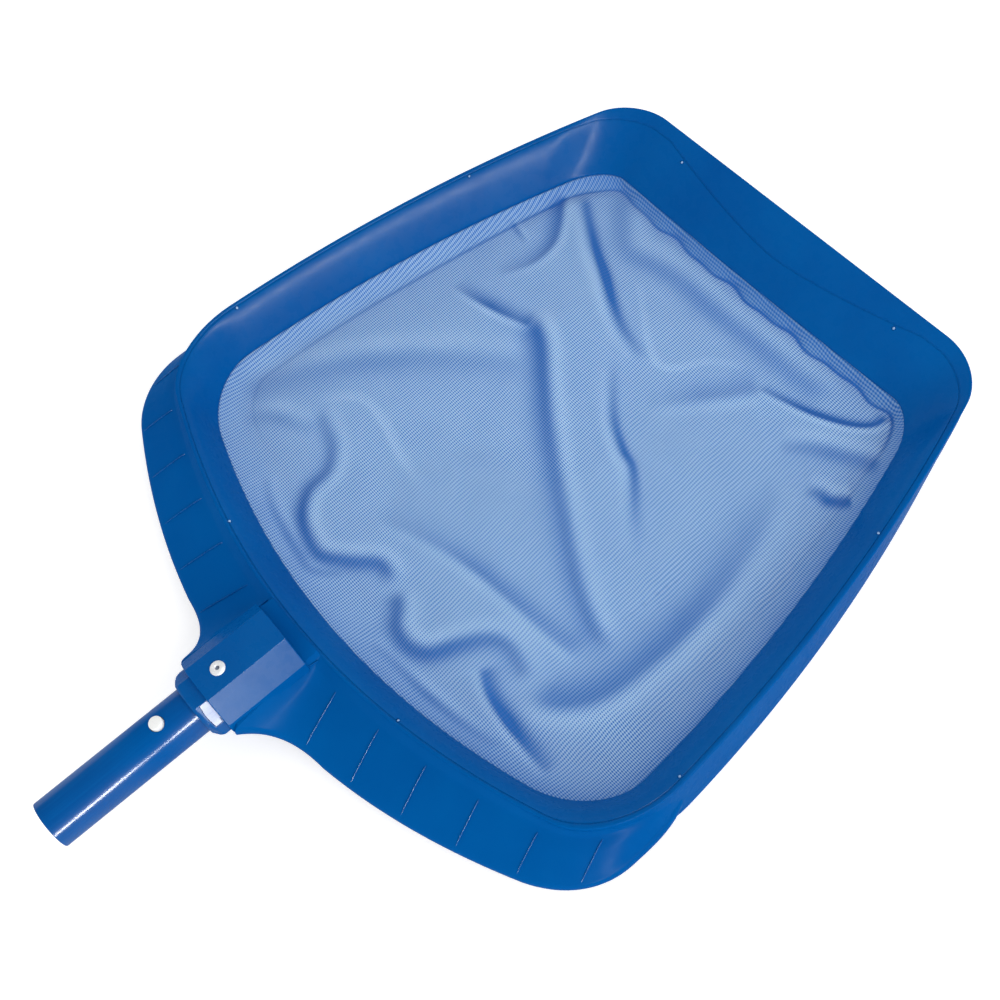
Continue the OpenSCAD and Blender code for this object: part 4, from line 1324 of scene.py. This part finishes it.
frame_blue = plastic("frame_blue", srgb(0, 82, 155), srgb(0, 90, 163), dull=0.012)
ring_blue = plastic("ring_blue", srgb(0, 83, 156), srgb(0, 91, 164))
tube_blue = anodised("tube_blue", srgb(0, 80, 153), srgb(0, 88, 162))
bare_aluminium = metal("bare_aluminium", srgb(112, 122, 150), srgb(168, 176, 200), 0.5, 700, (1, 0.1, 1), 0.2)
rivet_metal = metal("rivet_metal", srgb(236, 239, 242), srgb(252, 252, 253), 0.45, metallic=0.15)
stem_metal = metal("stem_metal", srgb(96, 106, 128), srgb(150, 160, 182), 0.4, metallic=0.3)
spring_metal = metal("spring_metal", srgb(150, 152, 156), srgb(186, 188, 190), 0.3, 900, (1, 0.05, 1))
button_white = plastic("button_white", srgb(247, 249, 247), srgb(253, 254, 253), 0.3, 0.5)
pin_plastic = plastic("pin_plastic", srgb(130, 165, 210), srgb(170, 200, 232), 0.35, 0.5)
net_weave = woven("net_weave")

put(frame_piece(), "body", "frame_plastic", frame_blue, "frame")
put(ring_piece(), "body", "ring_plastic", ring_blue, "net_ring")
put(pins_piece(), "body", "pin_plastic", pin_plastic, "ring_pins")
net = put(net_piece(), "body", "net_fabric", net_weave, "net")
put(tube_piece(), "body", "tube_anodised", tube_blue, "handle_tube")
put(sleeve_piece(), "body", "sleeve_aluminium", bare_aluminium, "tube_sleeve")
put(rivet_piece(), "body", "rivet_aluminium", rivet_metal, "rivet_body")
put(mandrel_piece(), "body", "mandrel_steel", stem_metal, "rivet_mandrel")
put(button_piece("snap_button_top", 1), "snap_top", "button_plastic", button_white, "button_top")
put(button_piece("snap_button_bottom", -1), "snap_bottom", "button_plastic", button_white, "button_bottom")
for node in ("clip_bend", "clip_arm_top", "clip_arm_bottom"):
    mesh = bpy.data.objects[node].data
    mesh.materials.clear()
    mesh.materials.append(spring_metal)

# ---------------- camera, floor and light
CAMERA_AT = (0.3496, -0.1310, 0.7176)
CAMERA_TURN = (27.021, 7.919, 50.202)

camera_data = bpy.data.cameras.new("camera")
camera_data.lens = 50
camera_data.sensor_width = 36
camera = bpy.data.objects.new("camera", camera_data)
camera.location = CAMERA_AT
camera.rotation_euler = Euler([math.radians(a) for a in CAMERA_TURN], "XYZ")
bpy.context.scene.collection.objects.link(camera)
bpy.context.scene.camera = camera

WHITE = (1, 1, 1, 1)
FLOOR_COLOUR = (0.85, 0.85, 0.85, 1)
FLOOR_SIZE = 6000
# How strongly the floor glows to the camera and to reflections
FLOOR_GLOW = 0.5
FLOOR_MIRRORED = 0.1


def floor_material():
    """A pale floor that looks white to the camera and to reflections, and keeps the shadow."""
    n = material_nodes("studio_floor")
    path = n.add("ShaderNodeLightPath").outputs
    seen = n.times(n.math("MAXIMUM", path["Is Camera Ray"], path["Is Transmission Ray"]), FLOOR_GLOW)
    seen = n.math("MAXIMUM", seen, n.times(path["Is Glossy Ray"], FLOOR_MIRRORED))
    matte = n.add("ShaderNodeBsdfDiffuse", {"Color": FLOOR_COLOUR})
    glow = n.add("ShaderNodeEmission", {"Color": WHITE, "Strength": seen})
    return n.finish(n.add("ShaderNodeAddShader", {0: matte.outputs[0], 1: glow.outputs[0]}).outputs[0])


def make_floor():
    corners = [(x * FLOOR_SIZE, y * FLOOR_SIZE, 0) for x, y in ((-1, -1), (1, -1), (1, 1), (-1, 1))]
    obj = make_object("studio_floor", corners, [(0, 1, 2, 3)])
    obj.data.materials.append(floor_material())


# The dome's brightness near the horizon and overhead, and the ceiling that reflections see
HORIZON = 1.62
ZENITH = 0.6
CEILING = 0.03


def make_world():
    """White to the camera, a soft dome for the shading, and a dim ceiling over white in reflections."""
    n = Nodes(bpy.data.worlds.new("studio"), "ShaderNodeOutputWorld")

    def background(strength):
        return n.add("ShaderNodeBackground", {"Color": WHITE, "Strength": strength}).outputs[0]

    def mixed(fac, a, b):
        return n.add("ShaderNodeMixShader", {0: fac, 1: a, 2: b}).outputs[0]

    path = n.add("ShaderNodeLightPath").outputs
    seen = n.math("MAXIMUM", path["Is Camera Ray"], path["Is Transmission Ray"])
    height = n.axis(n.add("ShaderNodeTexCoord").outputs["Generated"], 2)
    mirror = background(n.ramp(height, 0.02, 0.3, 1, CEILING))
    dome = background(n.ramp(height, 0, 0.7, HORIZON, ZENITH))
    soft = mixed(path["Is Glossy Ray"], dome, mirror)
    bpy.context.scene.world = n.finish(mixed(seen, soft, background(1)))


# Both lights face the middle of the net
AIM = (0, 0, 0.02)
SOFT_AT = (1.4, 0, 1.0)
STRIP_AT = (1.45, 0.027, 1.245)
STRIP_WAY = (-0.303, 0.609, 0.733)


def area_light(name, centre, way, size, power):
    """A rectangular light with its length along a given way."""
    data = bpy.data.lights.new(name, "AREA")
    data.shape = "RECTANGLE"
    data.size, data.size_y = size
    data.energy = power
    obj = bpy.data.objects.new(name, data)
    back = (Vector(centre) - Vector(AIM)).normalized()
    along = Vector(way)
    along = (along - along.dot(back) * back).normalized()
    turn = Matrix((along, back.cross(along), back)).transposed()
    obj.matrix_world = Matrix.Translation(centre) @ turn.to_4x4()
    bpy.context.scene.collection.objects.link(obj)
    return obj


def make_lights():
    """A soft side light for the shading, and a narrow strip beside it that only the gloss shows."""
    area_light("soft", SOFT_AT, (0, 1, 0), (1.2, 1.2), 10).visible_glossy = False
    area_light("strip", STRIP_AT, STRIP_WAY, (2.68, 0.13), 110).visible_diffuse = False


make_floor()
make_world()
make_lights()

bpy.context.scene.view_settings.view_transform = "Standard"
